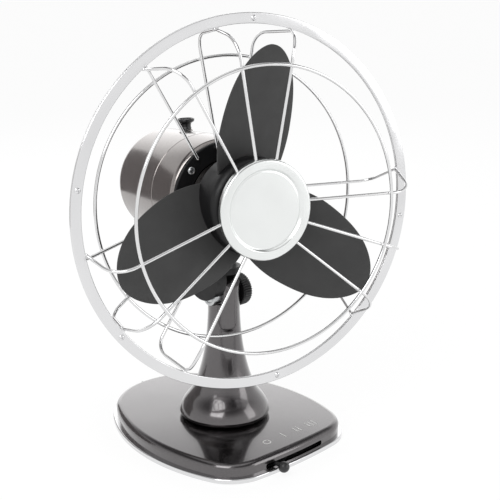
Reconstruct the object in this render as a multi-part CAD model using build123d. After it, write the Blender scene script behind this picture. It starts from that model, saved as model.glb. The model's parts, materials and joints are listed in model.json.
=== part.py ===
from build123d import *
from math import atan2, cos, degrees, radians, sin, sqrt
import os

# Desk fan on a domed base, in millimetres and degrees.
# World frame: the neck axis is Z, the floor is Z = 0, the speed slot faces -Y.
# Head frame: fan axis along Y (front is -Y), Z up, origin where the fan axis crosses the post axis.
# Bracket frame: origin on the tilt bolt, Z along the post.

# Rest pose
TILT = 4.0
YAW = -16.0

# Base outline
BASE_HALF_W = 100.0
BASE_SIDE_R = 195.0
BASE_WAIST_Y = -10.0
BASE_FRONT = 106.0
BASE_FRONT_R = 500.0
BASE_CORNER_R = 45.0
BASE_BACK_R = 80.0

# Base heights, walls and fasteners
FOOT_H = 1.2
TRIM_H = 4.3
TRIM_STEP = 3.5
TRIM_LEDGE = 2.6
TRIM_ROUND = 1.2
SHELL_H = 15.5
SEAT_R = 50.0
CROWN_R = 2000.0
BASE_WALL = 2.2
BASE_EDGE_R = 6.0
PLATE_T = 2.0
PLATE_GAP = 0.3
FOOT_R = 9.0
FOOT_PEG_R = 3.0
FOOT_PEG_L = 5.0
FOOT_SIDE_INSET = 34.0
FOOT_FRONT_INSET = 38.0
FOOT_BACK_X = 46.0
FOOT_BACK_Y = 92.0
BOSS_R = 4.5
BOSS_FRONT_X = 60.0
BOSS_FRONT_Y = -44.0
BOSS_BACK_X = 26.0
BOSS_BACK_Y = 86.0
PLATE_SCREW_HOLE_R = 1.5
PLATE_SCREW_REACH = 8.0
PLATE_SCREW_HEAD_R = 3.2
PLATE_SCREW_HEAD_H = 0.9
SCREW_END_ROOM = 1.0
BALLAST_R = 50.0
BALLAST_H = 10.0
CABLE_BORE_R = 12.0

# Speed slot, switch and lever
SLOT_LEFT = -41.0
SLOT_RIGHT = 36.0
SLOT_RISE = 1.3
SLOT_H = 5.2
SLOT_END_R = 2.4
SWITCH_DEPTH = 16.0
SWITCH_END = 5.0
SWITCH_H = 11.0
SWITCH_SETBACK = 3.5
GROOVE_DEPTH = 7.0
GROOVE_GAP = 0.4
LEVER_X = -29.0
LEVER_R = 2.0
LEVER_OUT = 10.0
LEVER_BALL_R = 5.4

# Cord inlet
INLET_R = 3.7
INLET_RISE = 4.7
GROMMET_LIP = 0.9
GROMMET_SNAP = 0.4
GROMMET_T = 1.4
GROMMET_SLACK = 2.4
GROMMET_BORE_R = 2.9

# Neck: height above the base and radius, from the bell to the straight top
NECK_FOOT_R = 41.0
NECK_STATIONS = [(6.0, 46.0), (17.0, 41.0), (26.0, 34.2), (46.0, 25.6), (78.0, 18.6), (110.0, 16.0)]
NECK_FOOT_ROUND = 7.2
NECK_WALL = 3.0
NECK_FLOOR = 4.0
NECK_SCREW_R = 2.0
NECK_SCREW_CIRCLE = 28.0
NECK_SCREW_ANGLES = [90.0, 210.0, 330.0]
NECK_SCREW_L = 8.0
NECK_SCREW_HEAD_R = 4.0
NECK_SCREW_HEAD_H = 2.0
PIVOT_RISE = 18.0
CHEEK_R = 18.0
CHEEK_LEFT = 11.0
CHEEK_RIGHT = 13.5
LAP_DROP = 8.0
NOTCH_ROOM = 1.0

# Tilt bracket, disc, bolt and knob
LOBE_R = 22.5
LOBE_BACK = 5.0
LOBE_UP = 19.0
LOBE_WALL = 3.2
LAP_GAP = 0.2
CAP_BOTTOM = 22.0
CAP_T = 6.0
DISC_R = 8.5
DISC_T = 8.8
BOLT_R = 4.0
BOLT_HEAD_R = 5.5
BOLT_HEAD_T = 3.0
BOLT_HEAD_ROOM = 0.4
BOLT_WASHER_T = 0.8
KNOB_R = 16.5
KNOB_T = 11.0
KNOB_TEETH = 40
KNOB_TOOTH = 1.1
KNOB_GAP = 0.3
KNOB_ROOM = 1.5
KNOB_END = 2.0
INSERT_R = 6.5
INSERT_T = 7.0

# Clearances used all over, and how much of a head's height is rounded
RUN_GAP = 0.05
FIT_GAP = 0.02
HEAD_ROUND_SHARE = 0.6

# Pivot post and head socket
POST_SHOULDER_R = 10.0
POST_R = 7.0
POST_PEG = 5.0
THRUST_T = 1.0
SOCKET_R = 13.0
SOCKET_H = 22.0
SOCKET_PROUD = 4.3
SOCKET_ROOM = 1.5
COLLAR_R = 11.0
COLLAR_T = 3.0
COLLAR_GAP = 0.3

# Motor case
CASE_R = 58.0
CASE_FRONT_R = 57.0
CASE_REAR_R = 54.5
CASE_WALL = 2.0
CASE_FRONT_ROUND = 5.0
CASE_REAR_ROUND = 20.0
CASE_FRONT_L = 44.0
CASE_END_ROOM = 21.5
NOSE_R = 38.0
NOSE_TIP_R = 35.0
NOSE_L = 25.0

# Motor inside
STATOR_SETBACK = 6.5
STATOR_L = 28.0
STATOR_BORE_R = 22.3
AIR_GAP = 0.4
COIL_INNER_R = 26.0
COIL_OUTER_R = 44.0
COIL_L = 8.0
COIL_ROUND = 2.6
SHAFT_R = 4.0
BEARING_R = 8.0
BEARING_L = 9.0
BRIDGE_ROOM = 4.0
BRIDGE_T = 4.0
WORM_R = 5.0
WORM_L = 26.0
WORM_GAP = 0.3
WHEEL_R = 9.7
WHEEL_T = 7.0
WHEEL_TEETH = 30
WHEEL_TOOTH = 1.0
WHEEL_SETBACK = 18.0
FRAME_T = 4.0
FRAME_ROOM = 1.0
FRAME_HALF_H = 14.0
FRAME_PAST = 9.0

# Oscillation crank, link and clutch
CRANK_SHAFT_R = 3.0
CRANK_HOLE_GAP = 0.5
CRANK_R = 13.0
CRANK_T = 2.8
CRANK_GAP = 0.6
CRANK_THROW = 9.0
CRANK_ANGLE = 27.0
CRANK_PIN_R = 2.5
CRANK_PIN_L = 4.0
LINK_GAP = 0.4
LINK_T = 3.0
LINK_W = 5.0
LINK_EYE_R = 4.4
STUD_R = 2.0
STUD_ROOM = 0.6
STUD_FOOT_R = 3.0
STUD_FOOT_H = 3.6
STUD_FOOT_GAP = 0.2
CLUTCH_R = 9.5
CLUTCH_T = 4.5
CLUTCH_NECK_R = 6.0
CLUTCH_NECK_H = 6.5
CLUTCH_STEM_R = 3.0
CLUTCH_GAP = 0.3

# Hub and blades
HUB_R = 46.0
HUB_L = 36.0
HUB_ROOM = 4.0
HUB_WALL = 3.0
HUB_ROUND = 8.0
HUB_SLEEVE_R = 12.0
HUB_NUT_R = 7.0
HUB_NUT_T = 4.0
SHAFT_TIP = 2.0
BLADE_COUNT = 3
BLADE_TIP_R = 150.5
BLADE_WIDE_R = 72.0
BLADE_HALF_W = 45.0
BLADE_ROOT_R = 26.0
BLADE_ROOT_HALF_W = 37.0
BLADE_ROOT_FLARE = 0.4
BLADE_TIP_BACK = 24.0
BLADE_TIP_HALF_W = 32.0
BLADE_T = 2.0
BLADE_SETBACK = 7.0
BLADE_CONE = 11.0
BLADE_PITCH = 17.0
BLADE_ANGLE = 81.0

# Guard
REAR_CAGE_DEPTH = 48.0
TIP_ROOM = 14.5
RIM_W = 10.0
RIM_T = 2.0
RIM_SCREW_ANGLES = [86.0, 168.0, 216.5, 276.5, 349.0]
RIM_SCREW_R = 1.5
RIM_SCREW_HEAD_R = 2.6
RIM_SCREW_HEAD_T = 1.2
RIM_NUT_R = 3.0
RIM_NUT_T = 2.2
WIRE_R = 1.5
RING_WIRE_R = 1.6
WELD_GAP = 0.05
SPOKE_SEAT_GAP = 0.3
SPOKE_END_GAP = 0.8
TRIO_ANGLES = [99.0, 215.0, 338.0]
TRIO_RIM_SPREAD = 27.0
TRIO_KNEE_SPREAD = 21.5
TRIO_INNER_SPREAD = 26.0
FRONT_BOW = 10.0
FRONT_KNEE_INSET = 8.0
FRONT_BEND_R = 22.0
FRONT_RING_INSET = 24.9
REAR_INNER_R = 50.0
REAR_KNEE_INSET = 5.0
REAR_KNEE_DEPTH = 39.0
REAR_BEND_R = 16.0
REAR_END_BEND_R = 2.0
REAR_RING_INSET = 22.9
GUARD_PLATE_R = 55.0
GUARD_PLATE_T = 3.0
GUARD_PLATE_ROUND = 1.5
GUARD_PLATE_GAP = 0.3
GUARD_SCREW_ANGLE = 40.0
GUARD_SCREW_CIRCLE = 47.0
GUARD_SCREW_R = 1.8
GUARD_SCREW_HEAD_R = 3.75
GUARD_SCREW_HEAD_T = 2.0
GUARD_SCREW_L = 6.0
BADGE_ROOM = 6.8
BADGE_R = 46.5
BADGE_WALL_L = 5.5
BADGE_PROUD = 3.3
BADGE_T = 1.2
BADGE_STEP_R = 37.0
BADGE_STEP = 2.0
BADGE_PLATE_T = 1.5

# Heights in the base and neck
PLATE_TOP = FOOT_H + PLATE_T
TRIM_TOP = FOOT_H + TRIM_H
SEAT_Z = TRIM_TOP + SHELL_H
CROWN_APEX = SEAT_Z + SEAT_R ** 2 / (2 * CROWN_R)
SLOT_BOTTOM = TRIM_TOP + SLOT_RISE
LEVER_Z = SLOT_BOTTOM + SLOT_H / 2
FACE_Y = -(BASE_FRONT - TRIM_STEP)
SWITCH_FRONT_Y = FACE_Y + BASE_WALL + SWITCH_SETBACK
INLET_Z = TRIM_TOP + INLET_RISE
NECK_TOP_R = NECK_STATIONS[-1][1]
PIVOT_Z = SEAT_Z + NECK_STATIONS[-1][0] + PIVOT_RISE
NECK_TOP = PIVOT_Z + CHEEK_R

# Places along the tilt bolt, all in X
DISC_RIGHT = -(CHEEK_LEFT + LAP_GAP)
DISC_LEFT = DISC_RIGHT - DISC_T
BOLT_LEFT = DISC_LEFT + BOLT_HEAD_ROOM
WASHER_LEFT = BOLT_LEFT + BOLT_HEAD_T
WEB_LEFT = WASHER_LEFT + BOLT_WASHER_T + RUN_GAP
KNOB_X = CHEEK_RIGHT + KNOB_GAP

# Places along the fan axis
CASE_FRONT_Y = -(SOCKET_R + SOCKET_ROOM)
SEAM_Y = CASE_FRONT_Y + CASE_FRONT_L
STATOR_START = SEAM_Y + STATOR_SETBACK
STATOR_END = STATOR_START + STATOR_L
BRIDGE_Y = STATOR_END + COIL_L + BRIDGE_ROOM
FRAME_FRONT_Y = BRIDGE_Y + BRIDGE_T
WHEEL_X = WORM_R + WORM_GAP + WHEEL_R
WHEEL_Y = FRAME_FRONT_Y + WHEEL_SETBACK
SHAFT_REAR_Y = WHEEL_Y + WORM_L / 2
CASE_REAR_Y = SHAFT_REAR_Y + CASE_END_ROOM + CASE_WALL
CASE_BEND_Y = CASE_REAR_Y - CASE_REAR_ROUND
NOSE_TIP_Y = CASE_FRONT_Y - NOSE_L
HUB_BACK_Y = NOSE_TIP_Y - HUB_ROOM
HUB_FRONT_Y = HUB_BACK_Y - HUB_L
SHAFT_FRONT_Y = HUB_FRONT_Y - HUB_NUT_T - SHAFT_TIP
GUARD_PLATE_Y = CASE_FRONT_Y - GUARD_PLATE_T
RIM_Y = GUARD_PLATE_Y - REAR_CAGE_DEPTH
BADGE_BACK_Y = SHAFT_FRONT_Y - BADGE_ROOM
BADGE_Y = BADGE_BACK_Y - BADGE_WALL_L


def case_radius(y):
    """Outside radius of the rear case at a place along the fan axis."""
    share = (y - SEAM_Y) / (CASE_BEND_Y - SEAM_Y)
    return CASE_R + (CASE_REAR_R - CASE_R) * share


# Heights in the head frame: the crank under the case, its link and the post socket
CRANK_TOP = -(case_radius(WHEEL_Y - CRANK_R) + CRANK_GAP)
CRANK_BOTTOM = CRANK_TOP - CRANK_T
CRANK_PIN_BOTTOM = CRANK_BOTTOM - CRANK_PIN_L
LINK_TOP = CRANK_PIN_BOTTOM - LINK_GAP
LINK_BOTTOM = LINK_TOP - LINK_T
SOCKET_BOTTOM = -(CASE_R + SOCKET_PROUD)
SOCKET_TOP = SOCKET_BOTTOM + SOCKET_H
POST_TOP = SOCKET_TOP + COLLAR_GAP + COLLAR_T

# Heights above the tilt bolt: the link clears the foot of its stud on the cap
CAP_TOP = CAP_BOTTOM + CAP_T
STUD_FOOT_TOP = CAP_TOP + STUD_FOOT_H
AXIS_RISE = STUD_FOOT_TOP + STUD_FOOT_GAP - LINK_BOTTOM
POST_SEAT = AXIS_RISE + SOCKET_BOTTOM - THRUST_T
STUD_CIRCLE = POST_SHOULDER_R + LINK_EYE_R + STUD_ROOM
CAP_R = STUD_CIRCLE + STUD_FOOT_R

# Radii and depths of the guard
RIM_INNER_R = BLADE_TIP_R + TIP_ROOM
RIM_R = RIM_INNER_R + RIM_W
RIM_SCREW_CIRCLE = RIM_R - RIM_W / 2
SPOKE_END_R = RIM_INNER_R - WELD_GAP - WIRE_R
FRONT_INNER_R = BADGE_R + SPOKE_SEAT_GAP
FRONT_INNER_DEPTH = RIM_Y - BADGE_Y - BADGE_PROUD
FRONT_KNEE_R = SPOKE_END_R - FRONT_KNEE_INSET
FRONT_KNEE_DEPTH = FRONT_INNER_DEPTH + FRONT_BOW
FRONT_RING_R = FRONT_KNEE_R - FRONT_RING_INSET
REAR_INNER_DEPTH = REAR_CAGE_DEPTH - REAR_END_BEND_R - WELD_GAP
REAR_KNEE_R = SPOKE_END_R - REAR_KNEE_INSET
REAR_RING_R = REAR_KNEE_R - REAR_RING_INSET
RING_STACK = WIRE_R + RING_WIRE_R + WELD_GAP

BRACKET = Pos(0, 0, PIVOT_Z) * Rot(-TILT, 0, 0)
HEAD = BRACKET * Pos(0, 0, AXIS_RISE) * Rot(0, 0, YAW)
PAST = 1.0
FAR = 400.0
SIDES = (-1, 0, 1)
PARTS = {}


def keep(name, shape, place=Pos(0, 0, 0)):
    """Store a node: one solid, or a list of separate solids, moved into the world frame."""
    solids = []
    for piece in shape if isinstance(shape, list) else [shape]:
        solids.extend((place * piece).solids())
    PARTS[name] = solids


def disc(radius, start, length, x=0.0, z=0.0):
    """Cylinder along +Y from Y = start."""
    return Pos(x, start + length / 2, z) * Rot(90, 0, 0) * Cylinder(radius, length)


def pillar(radius, bottom, top, x=0.0, y=0.0):
    """Upright cylinder between two heights."""
    return Pos(x, y, (bottom + top) / 2) * Cylinder(radius, top - bottom)


def bar(radius, left, right, y=0.0, z=0.0):
    """Cylinder along X between two places."""
    return Pos((left + right) / 2, y, z) * Rot(0, 90, 0) * Cylinder(radius, right - left)


def block(x0, x1, y0, y1, z0, z1):
    """Box given by its two corners."""
    return Pos((x0 + x1) / 2, (y0 + y1) / 2, (z0 + z1) / 2) * Box(x1 - x0, y1 - y0, z1 - z0)


def turned(points):
    """Solid of revolution about Y from (radius, y) points."""
    return revolve(make_face(Polyline(*points, close=True)), Axis.Y)


def toothed(radius, tooth, count):
    """Flat outline of a wheel with pointed teeth."""
    tips = []
    for i in range(2 * count):
        reach = radius if i % 2 else radius - tooth
        angle = radians(180 * i / count)
        tips.append((reach * cos(angle), reach * sin(angle)))
    return make_face(Polyline(*tips, close=True))


def around(angle):
    """Turn about the fan axis: carries +X to the given front-view angle."""
    return Rot(0, -angle, 0)


def on_circle(radius, angle):
    """Point on a circle about the fan axis seen from the front, or about Z seen from above."""
    return radius * cos(radians(angle)), radius * sin(radians(angle))


# Base

def base_outline(inset):
    """Rounded outline, wide at the front and drawn in to the back, parallel to the foot by inset."""
    reach = BASE_SIDE_R - BASE_HALF_W
    right = Pos(-reach, BASE_WAIST_Y) * Rot(0, 0, 180) * Circle(BASE_SIDE_R - inset)
    left = Pos(reach, BASE_WAIST_Y) * Circle(BASE_SIDE_R - inset)
    front = Pos(0, BASE_FRONT_R - BASE_FRONT) * Circle(BASE_FRONT_R - inset)
    face = (right & left & front).faces()[0]
    face = fillet(face.vertices().sort_by(Axis.Y)[-1], BASE_BACK_R - inset)
    return fillet(face.vertices().sort_by(Axis.Y)[:2], BASE_CORNER_R - inset)


def slab(inset, bottom, top):
    """Straight-sided block on the base outline."""
    return extrude(Pos(0, 0, bottom) * base_outline(inset), top - bottom)


def crowned(inset, lower, round_r):
    """Block on the base outline under the crown, its top lowered by a wall and its edge rounded."""
    body = slab(inset, TRIM_TOP, SEAT_Z - lower)
    body &= Pos(0, 0, CROWN_APEX - lower - CROWN_R) * Sphere(CROWN_R)
    crease = []
    for edge in body.edges():
        box = edge.bounding_box()
        if box.min.Z > TRIM_TOP + PAST / 2 and box.max.Z < SEAT_Z - lower - FIT_GAP:
            crease.append(edge)
    return fillet(crease, round_r)


def boss_places():
    front = [(side * BOSS_FRONT_X, BOSS_FRONT_Y) for side in (-1, 1)]
    return front + [(side * BOSS_BACK_X, BOSS_BACK_Y) for side in (-1, 1)]


def foot_places():
    front_x, front_y = BASE_HALF_W - FOOT_SIDE_INSET, FOOT_FRONT_INSET - BASE_FRONT
    front = [(side * front_x, front_y) for side in (-1, 1)]
    return front + [(side * FOOT_BACK_X, FOOT_BACK_Y) for side in (-1, 1)]


def neck_screw_places():
    return [on_circle(NECK_SCREW_CIRCLE, angle) for angle in NECK_SCREW_ANGLES]


def back_wall_y():
    """Y of the outer face at the back of the base shell."""
    return base_outline(TRIM_STEP).bounding_box().max.Y


def base_shell():
    inner_top = SEAT_Z - BASE_WALL
    shell = crowned(TRIM_STEP, 0, BASE_EDGE_R)
    shell -= crowned(TRIM_STEP + BASE_WALL, BASE_WALL, BASE_EDGE_R - BASE_WALL)
    for x, y in boss_places():
        boss = pillar(BOSS_R, PLATE_TOP, inner_top, x, y)
        shell += boss & (Pos(0, 0, CROWN_APEX - BASE_WALL / 2 - CROWN_R) * Sphere(CROWN_R))
        shell -= pillar(PLATE_SCREW_HOLE_R + FIT_GAP, 0, PLATE_TOP + PLATE_SCREW_REACH, x, y)
    for x, y in neck_screw_places():
        shell -= pillar(NECK_SCREW_R + RUN_GAP, TRIM_TOP, SEAT_Z + PAST, x, y)
    shell -= pillar(CABLE_BORE_R, TRIM_TOP, SEAT_Z + PAST)
    slot = block(SLOT_LEFT, SLOT_RIGHT, FACE_Y - PAST, SWITCH_FRONT_Y, SLOT_BOTTOM, SLOT_BOTTOM + SLOT_H)
    shell -= fillet(slot.edges().filter_by(Axis.Y), SLOT_END_R)
    return shell - disc(INLET_R, back_wall_y() - 2 * BASE_WALL, 3 * BASE_WALL, 0, INLET_Z)


def base_trim():
    ring = slab(0, FOOT_H, TRIM_TOP)
    ring = fillet(ring.edges().group_by(Axis.Z)[-1], TRIM_ROUND)
    return ring - slab(TRIM_STEP + TRIM_LEDGE, 0, TRIM_TOP + PAST)


def base_plate():
    plate = slab(TRIM_STEP + TRIM_LEDGE + PLATE_GAP, FOOT_H, PLATE_TOP)
    for x, y in boss_places():
        plate -= pillar(PLATE_SCREW_HOLE_R + RUN_GAP, 0, PLATE_TOP + PAST, x, y)
    for x, y in foot_places():
        plate -= pillar(FOOT_PEG_R + FIT_GAP, 0, PLATE_TOP + PAST, x, y)
    return plate


def rubber_foot(x, y):
    return pillar(FOOT_R, 0, FOOT_H, x, y) + pillar(FOOT_PEG_R, FOOT_H, FOOT_H + FOOT_PEG_L, x, y)


def base_screw(x, y):
    tip = PLATE_TOP + PLATE_SCREW_REACH - SCREW_END_ROOM
    head = pillar(PLATE_SCREW_HEAD_R, FOOT_H - PLATE_SCREW_HEAD_H, FOOT_H, x, y)
    return head + pillar(PLATE_SCREW_HOLE_R, FOOT_H, tip, x, y)


def ballast():
    weight = pillar(BALLAST_R, PLATE_TOP, PLATE_TOP + BALLAST_H)
    return weight - pillar(CABLE_BORE_R, 0, SEAT_Z)


def speed_switch():
    back_y = SWITCH_FRONT_Y + SWITCH_DEPTH
    body = block(SLOT_LEFT - SWITCH_END, SLOT_RIGHT + SWITCH_END, SWITCH_FRONT_Y, back_y,
                 PLATE_TOP, PLATE_TOP + SWITCH_H)
    half = LEVER_R + GROOVE_GAP
    return body - block(SLOT_LEFT, SLOT_RIGHT, SWITCH_FRONT_Y - PAST, SWITCH_FRONT_Y + GROOVE_DEPTH,
                        LEVER_Z - half, LEVER_Z + half)


def speed_lever():
    start = FACE_Y - LEVER_OUT
    end = SWITCH_FRONT_Y + GROOVE_DEPTH - GROOVE_GAP
    return disc(LEVER_R, start, end - start, LEVER_X, LEVER_Z)


def lever_ball():
    ball = Pos(LEVER_X, FACE_Y - LEVER_OUT, LEVER_Z) * Sphere(LEVER_BALL_R)
    return ball - disc(LEVER_R + FIT_GAP, FACE_Y - LEVER_OUT - FIT_GAP, LEVER_OUT, LEVER_X, LEVER_Z)


def cord_grommet():
    y = back_wall_y()
    inside = y - BASE_WALL - GROMMET_SLACK
    ring = disc(INLET_R + GROMMET_LIP, y, GROMMET_T, 0, INLET_Z)
    ring += disc(INLET_R - RUN_GAP, inside, BASE_WALL + GROMMET_SLACK, 0, INLET_Z)
    ring += disc(INLET_R + GROMMET_SNAP, inside - GROMMET_T, GROMMET_T, 0, INLET_Z)
    return ring - disc(GROMMET_BORE_R, y - FAR / 2, FAR, 0, INLET_Z)


# Neck

def neck_curve(inward):
    return Spline(*[(radius - inward, SEAT_Z + height) for height, radius in NECK_STATIONS])


def neck_body():
    """Turned bell and column, hollow above its floor."""
    bell_h, bell_r = NECK_STATIONS[0]
    outside = neck_curve(0)
    profile = [
        Line((0, SEAT_Z), (NECK_FOOT_R, SEAT_Z)),
        RadiusArc((NECK_FOOT_R, SEAT_Z), (bell_r, SEAT_Z + bell_h), -NECK_FOOT_ROUND),
        outside,
        Line(outside @ 1, (NECK_TOP_R, NECK_TOP)),
        Line((NECK_TOP_R, NECK_TOP), (0, NECK_TOP)),
        Line((0, NECK_TOP), (0, SEAT_Z)),
    ]
    hollow = neck_curve(NECK_WALL)
    low, high = hollow @ 0, hollow @ 1
    floor = (low.X - NECK_WALL, SEAT_Z + NECK_FLOOR)
    core = [
        Line((0, floor[1]), floor),
        Line(floor, low),
        hollow,
        Line(high, (0, high.Y)),
        Line((0, high.Y), (0, floor[1])),
    ]
    column = revolve(Plane.XZ * make_face(profile), Axis.Z)
    return column - revolve(Plane.XZ * make_face(core), Axis.Z)


def neck_column():
    column = neck_body()
    column -= pillar(CABLE_BORE_R, SEAT_Z - PAST, SEAT_Z + NECK_FLOOR + PAST)
    for x, y in neck_screw_places():
        column -= pillar(NECK_SCREW_R + FIT_GAP, SEAT_Z - PAST, SEAT_Z + NECK_FLOOR + PAST, x, y)
    crown = block(-FAR, FAR, -FAR, FAR, PIVOT_Z, NECK_TOP + PAST)
    column -= crown - bar(CHEEK_R, -FAR, FAR, 0, PIVOT_Z)
    column -= bar(DISC_R + NOTCH_ROOM, -FAR, -CHEEK_LEFT, 0, PIVOT_Z)
    column -= block(-FAR, -CHEEK_LEFT, -FAR, FAR, PIVOT_Z - LAP_DROP, NECK_TOP + PAST)
    column -= block(CHEEK_RIGHT, FAR, -FAR, FAR, PIVOT_Z - KNOB_R - KNOB_ROOM, NECK_TOP + PAST)
    return column - bar(BOLT_R + FIT_GAP, -FAR, FAR, 0, PIVOT_Z)


def neck_screw(x, y):
    under = SEAT_Z - BASE_WALL
    head = pillar(NECK_SCREW_HEAD_R, under - NECK_SCREW_HEAD_H, under, x, y)
    return head + pillar(NECK_SCREW_R, under, under + NECK_SCREW_L, x, y)


# Tilt joint

def tilt_bracket():
    """Casting with a round lobe beside the cheek and a cap over it that carries the post."""
    lobe = bar(LOBE_R, DISC_LEFT - LOBE_WALL, DISC_RIGHT, LOBE_BACK, LOBE_UP)
    lobe -= block(-FAR, FAR, -FAR, FAR, CAP_TOP, FAR)
    lobe -= bar(DISC_R + FIT_GAP, DISC_LEFT, FAR)
    body = lobe + pillar(CAP_R, CAP_BOTTOM, CAP_TOP)
    body -= pillar(POST_R + FIT_GAP, CAP_TOP - POST_PEG, CAP_TOP + PAST)
    return body - pillar(STUD_R + FIT_GAP, CAP_TOP - POST_PEG, CAP_TOP + PAST, STUD_CIRCLE, 0)


def tilt_disc():
    """Friction disc in the lobe, with a pocket for the bolt head."""
    body = bar(DISC_R, DISC_LEFT, DISC_RIGHT)
    body -= bar(BOLT_HEAD_R + BOLT_HEAD_ROOM, DISC_LEFT - PAST, WEB_LEFT)
    return body - bar(BOLT_R + RUN_GAP, -FAR, FAR)


def tilt_bolt():
    bolt = bar(BOLT_HEAD_R, BOLT_LEFT, WASHER_LEFT)
    bolt += bar(BOLT_R, BOLT_LEFT, KNOB_X + KNOB_T - KNOB_END)
    return bolt.moved(Pos(0, 0, PIVOT_Z))


def tilt_washer():
    ring = bar(BOLT_HEAD_R, WASHER_LEFT, WASHER_LEFT + BOLT_WASHER_T)
    return (ring - bar(BOLT_R + FIT_GAP, -FAR, FAR)).moved(Pos(0, 0, PIVOT_Z))


def tilt_knob():
    knob = Pos(KNOB_X, 0, 0) * Rot(0, 90, 0) * extrude(toothed(KNOB_R, KNOB_TOOTH, KNOB_TEETH), KNOB_T)
    knob -= bar(INSERT_R + FIT_GAP, 0, KNOB_X + INSERT_T)
    knob -= bar(BOLT_R + RUN_GAP, 0, KNOB_X + KNOB_T - KNOB_END + KNOB_GAP)
    return knob.moved(Pos(0, 0, PIVOT_Z))


def knob_insert():
    ring = bar(INSERT_R, KNOB_X, KNOB_X + INSERT_T)
    return (ring - bar(BOLT_R + RUN_GAP, 0, FAR)).moved(Pos(0, 0, PIVOT_Z))


def pivot_post():
    post = pillar(POST_R, CAP_TOP - POST_PEG, POST_TOP + AXIS_RISE)
    return post + pillar(POST_SHOULDER_R, CAP_TOP, POST_SEAT)


def post_collar():
    bottom = SOCKET_TOP + COLLAR_GAP + AXIS_RISE
    return pillar(COLLAR_R, bottom, bottom + COLLAR_T) - pillar(POST_R + FIT_GAP, 0, FAR)


def thrust_washer():
    ring = pillar(POST_SHOULDER_R, POST_SEAT, POST_SEAT + THRUST_T)
    return ring - pillar(POST_R + RUN_GAP, 0, FAR)


# Oscillation drive

def link_stud():
    """Pin beside the post that the drive link turns on, with a foot under the link."""
    stud = pillar(STUD_R, CAP_TOP - POST_PEG, LINK_TOP + AXIS_RISE, STUD_CIRCLE, 0)
    return stud + pillar(STUD_FOOT_R, CAP_TOP, STUD_FOOT_TOP, STUD_CIRCLE, 0)


def crank_pin_place():
    """Crank pin (x, y) in the head frame at rest."""
    x, y = on_circle(CRANK_THROW, CRANK_ANGLE)
    return WHEEL_X + x, WHEEL_Y + y


def drive_link():
    """Flat bar from the stud to just under the crank pin."""
    start_x, start_y = on_circle(STUD_CIRCLE, -YAW)
    end_x, end_y = crank_pin_place()
    run_x, run_y = end_x - start_x, end_y - start_y
    turn = degrees(atan2(run_y, run_x))
    arm = Rectangle(sqrt(run_x ** 2 + run_y ** 2), LINK_W)
    plan = Pos((start_x + end_x) / 2, (start_y + end_y) / 2) * Rot(0, 0, turn) * arm
    plan += Pos(start_x, start_y) * Circle(LINK_EYE_R)
    plan += Pos(end_x, end_y) * Circle(LINK_EYE_R)
    plan -= Pos(start_x, start_y) * Circle(STUD_R + RUN_GAP)
    plan -= Pos(end_x, end_y) * Circle(CRANK_PIN_R + RUN_GAP)
    return extrude(Pos(0, 0, LINK_BOTTOM) * plan, LINK_T)


def worm_wheel():
    plan = toothed(WHEEL_R, WHEEL_TOOTH, WHEEL_TEETH) - Circle(CRANK_SHAFT_R + FIT_GAP)
    return extrude(Pos(WHEEL_X, WHEEL_Y, -WHEEL_T / 2) * plan, WHEEL_T)


def crank_shaft():
    top = FRAME_HALF_H + FRAME_T
    return pillar(CRANK_SHAFT_R, CRANK_BOTTOM, top, WHEEL_X, WHEEL_Y)


def crank_disc():
    plate = pillar(CRANK_R, CRANK_BOTTOM, CRANK_TOP, WHEEL_X, WHEEL_Y)
    plate -= pillar(CRANK_SHAFT_R + FIT_GAP, -FAR, 0, WHEEL_X, WHEEL_Y)
    x, y = crank_pin_place()
    return plate + pillar(CRANK_PIN_R, CRANK_PIN_BOTTOM, CRANK_BOTTOM, x, y)


def gear_frame():
    """Two plates, above and below the worm wheel, and a side plate, standing on the bridge."""
    inner, outer = WORM_R + FRAME_ROOM, WHEEL_X + WHEEL_R + FRAME_ROOM
    end, top = WHEEL_Y + FRAME_PAST, FRAME_HALF_H + FRAME_T
    frame = block(inner, outer + FRAME_T, FRAME_FRONT_Y, end, -top, top)
    frame -= block(inner - PAST, outer, FRAME_FRONT_Y - PAST, end + PAST, -FRAME_HALF_H, FRAME_HALF_H)
    return frame - pillar(CRANK_SHAFT_R + RUN_GAP, -FAR, FAR, WHEEL_X, WHEEL_Y)


def clutch_base_z():
    """Height just above the case top where the clutch stem comes out."""
    reach = max(WHEEL_X - CLUTCH_NECK_R, 0)
    return sqrt(case_radius(WHEEL_Y - CLUTCH_NECK_R) ** 2 - reach ** 2) + CLUTCH_GAP


def clutch_stem():
    bottom = FRAME_HALF_H + FRAME_T + CLUTCH_GAP
    return pillar(CLUTCH_STEM_R, bottom, clutch_base_z() + CLUTCH_NECK_H, WHEEL_X, WHEEL_Y)


def clutch_knob():
    low = clutch_base_z()
    mid = low + CLUTCH_NECK_H
    cap = pillar(CLUTCH_R, mid, mid + CLUTCH_T, WHEEL_X, WHEEL_Y)
    cap = fillet(cap.edges().sort_by(Axis.Z)[-1], CLUTCH_T * HEAD_ROUND_SHARE)
    knob = cap + pillar(CLUTCH_NECK_R, low, mid, WHEEL_X, WHEEL_Y)
    return knob - pillar(CLUTCH_STEM_R + FIT_GAP, 0, mid + FIT_GAP, WHEEL_X, WHEEL_Y)


# Motor

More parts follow.
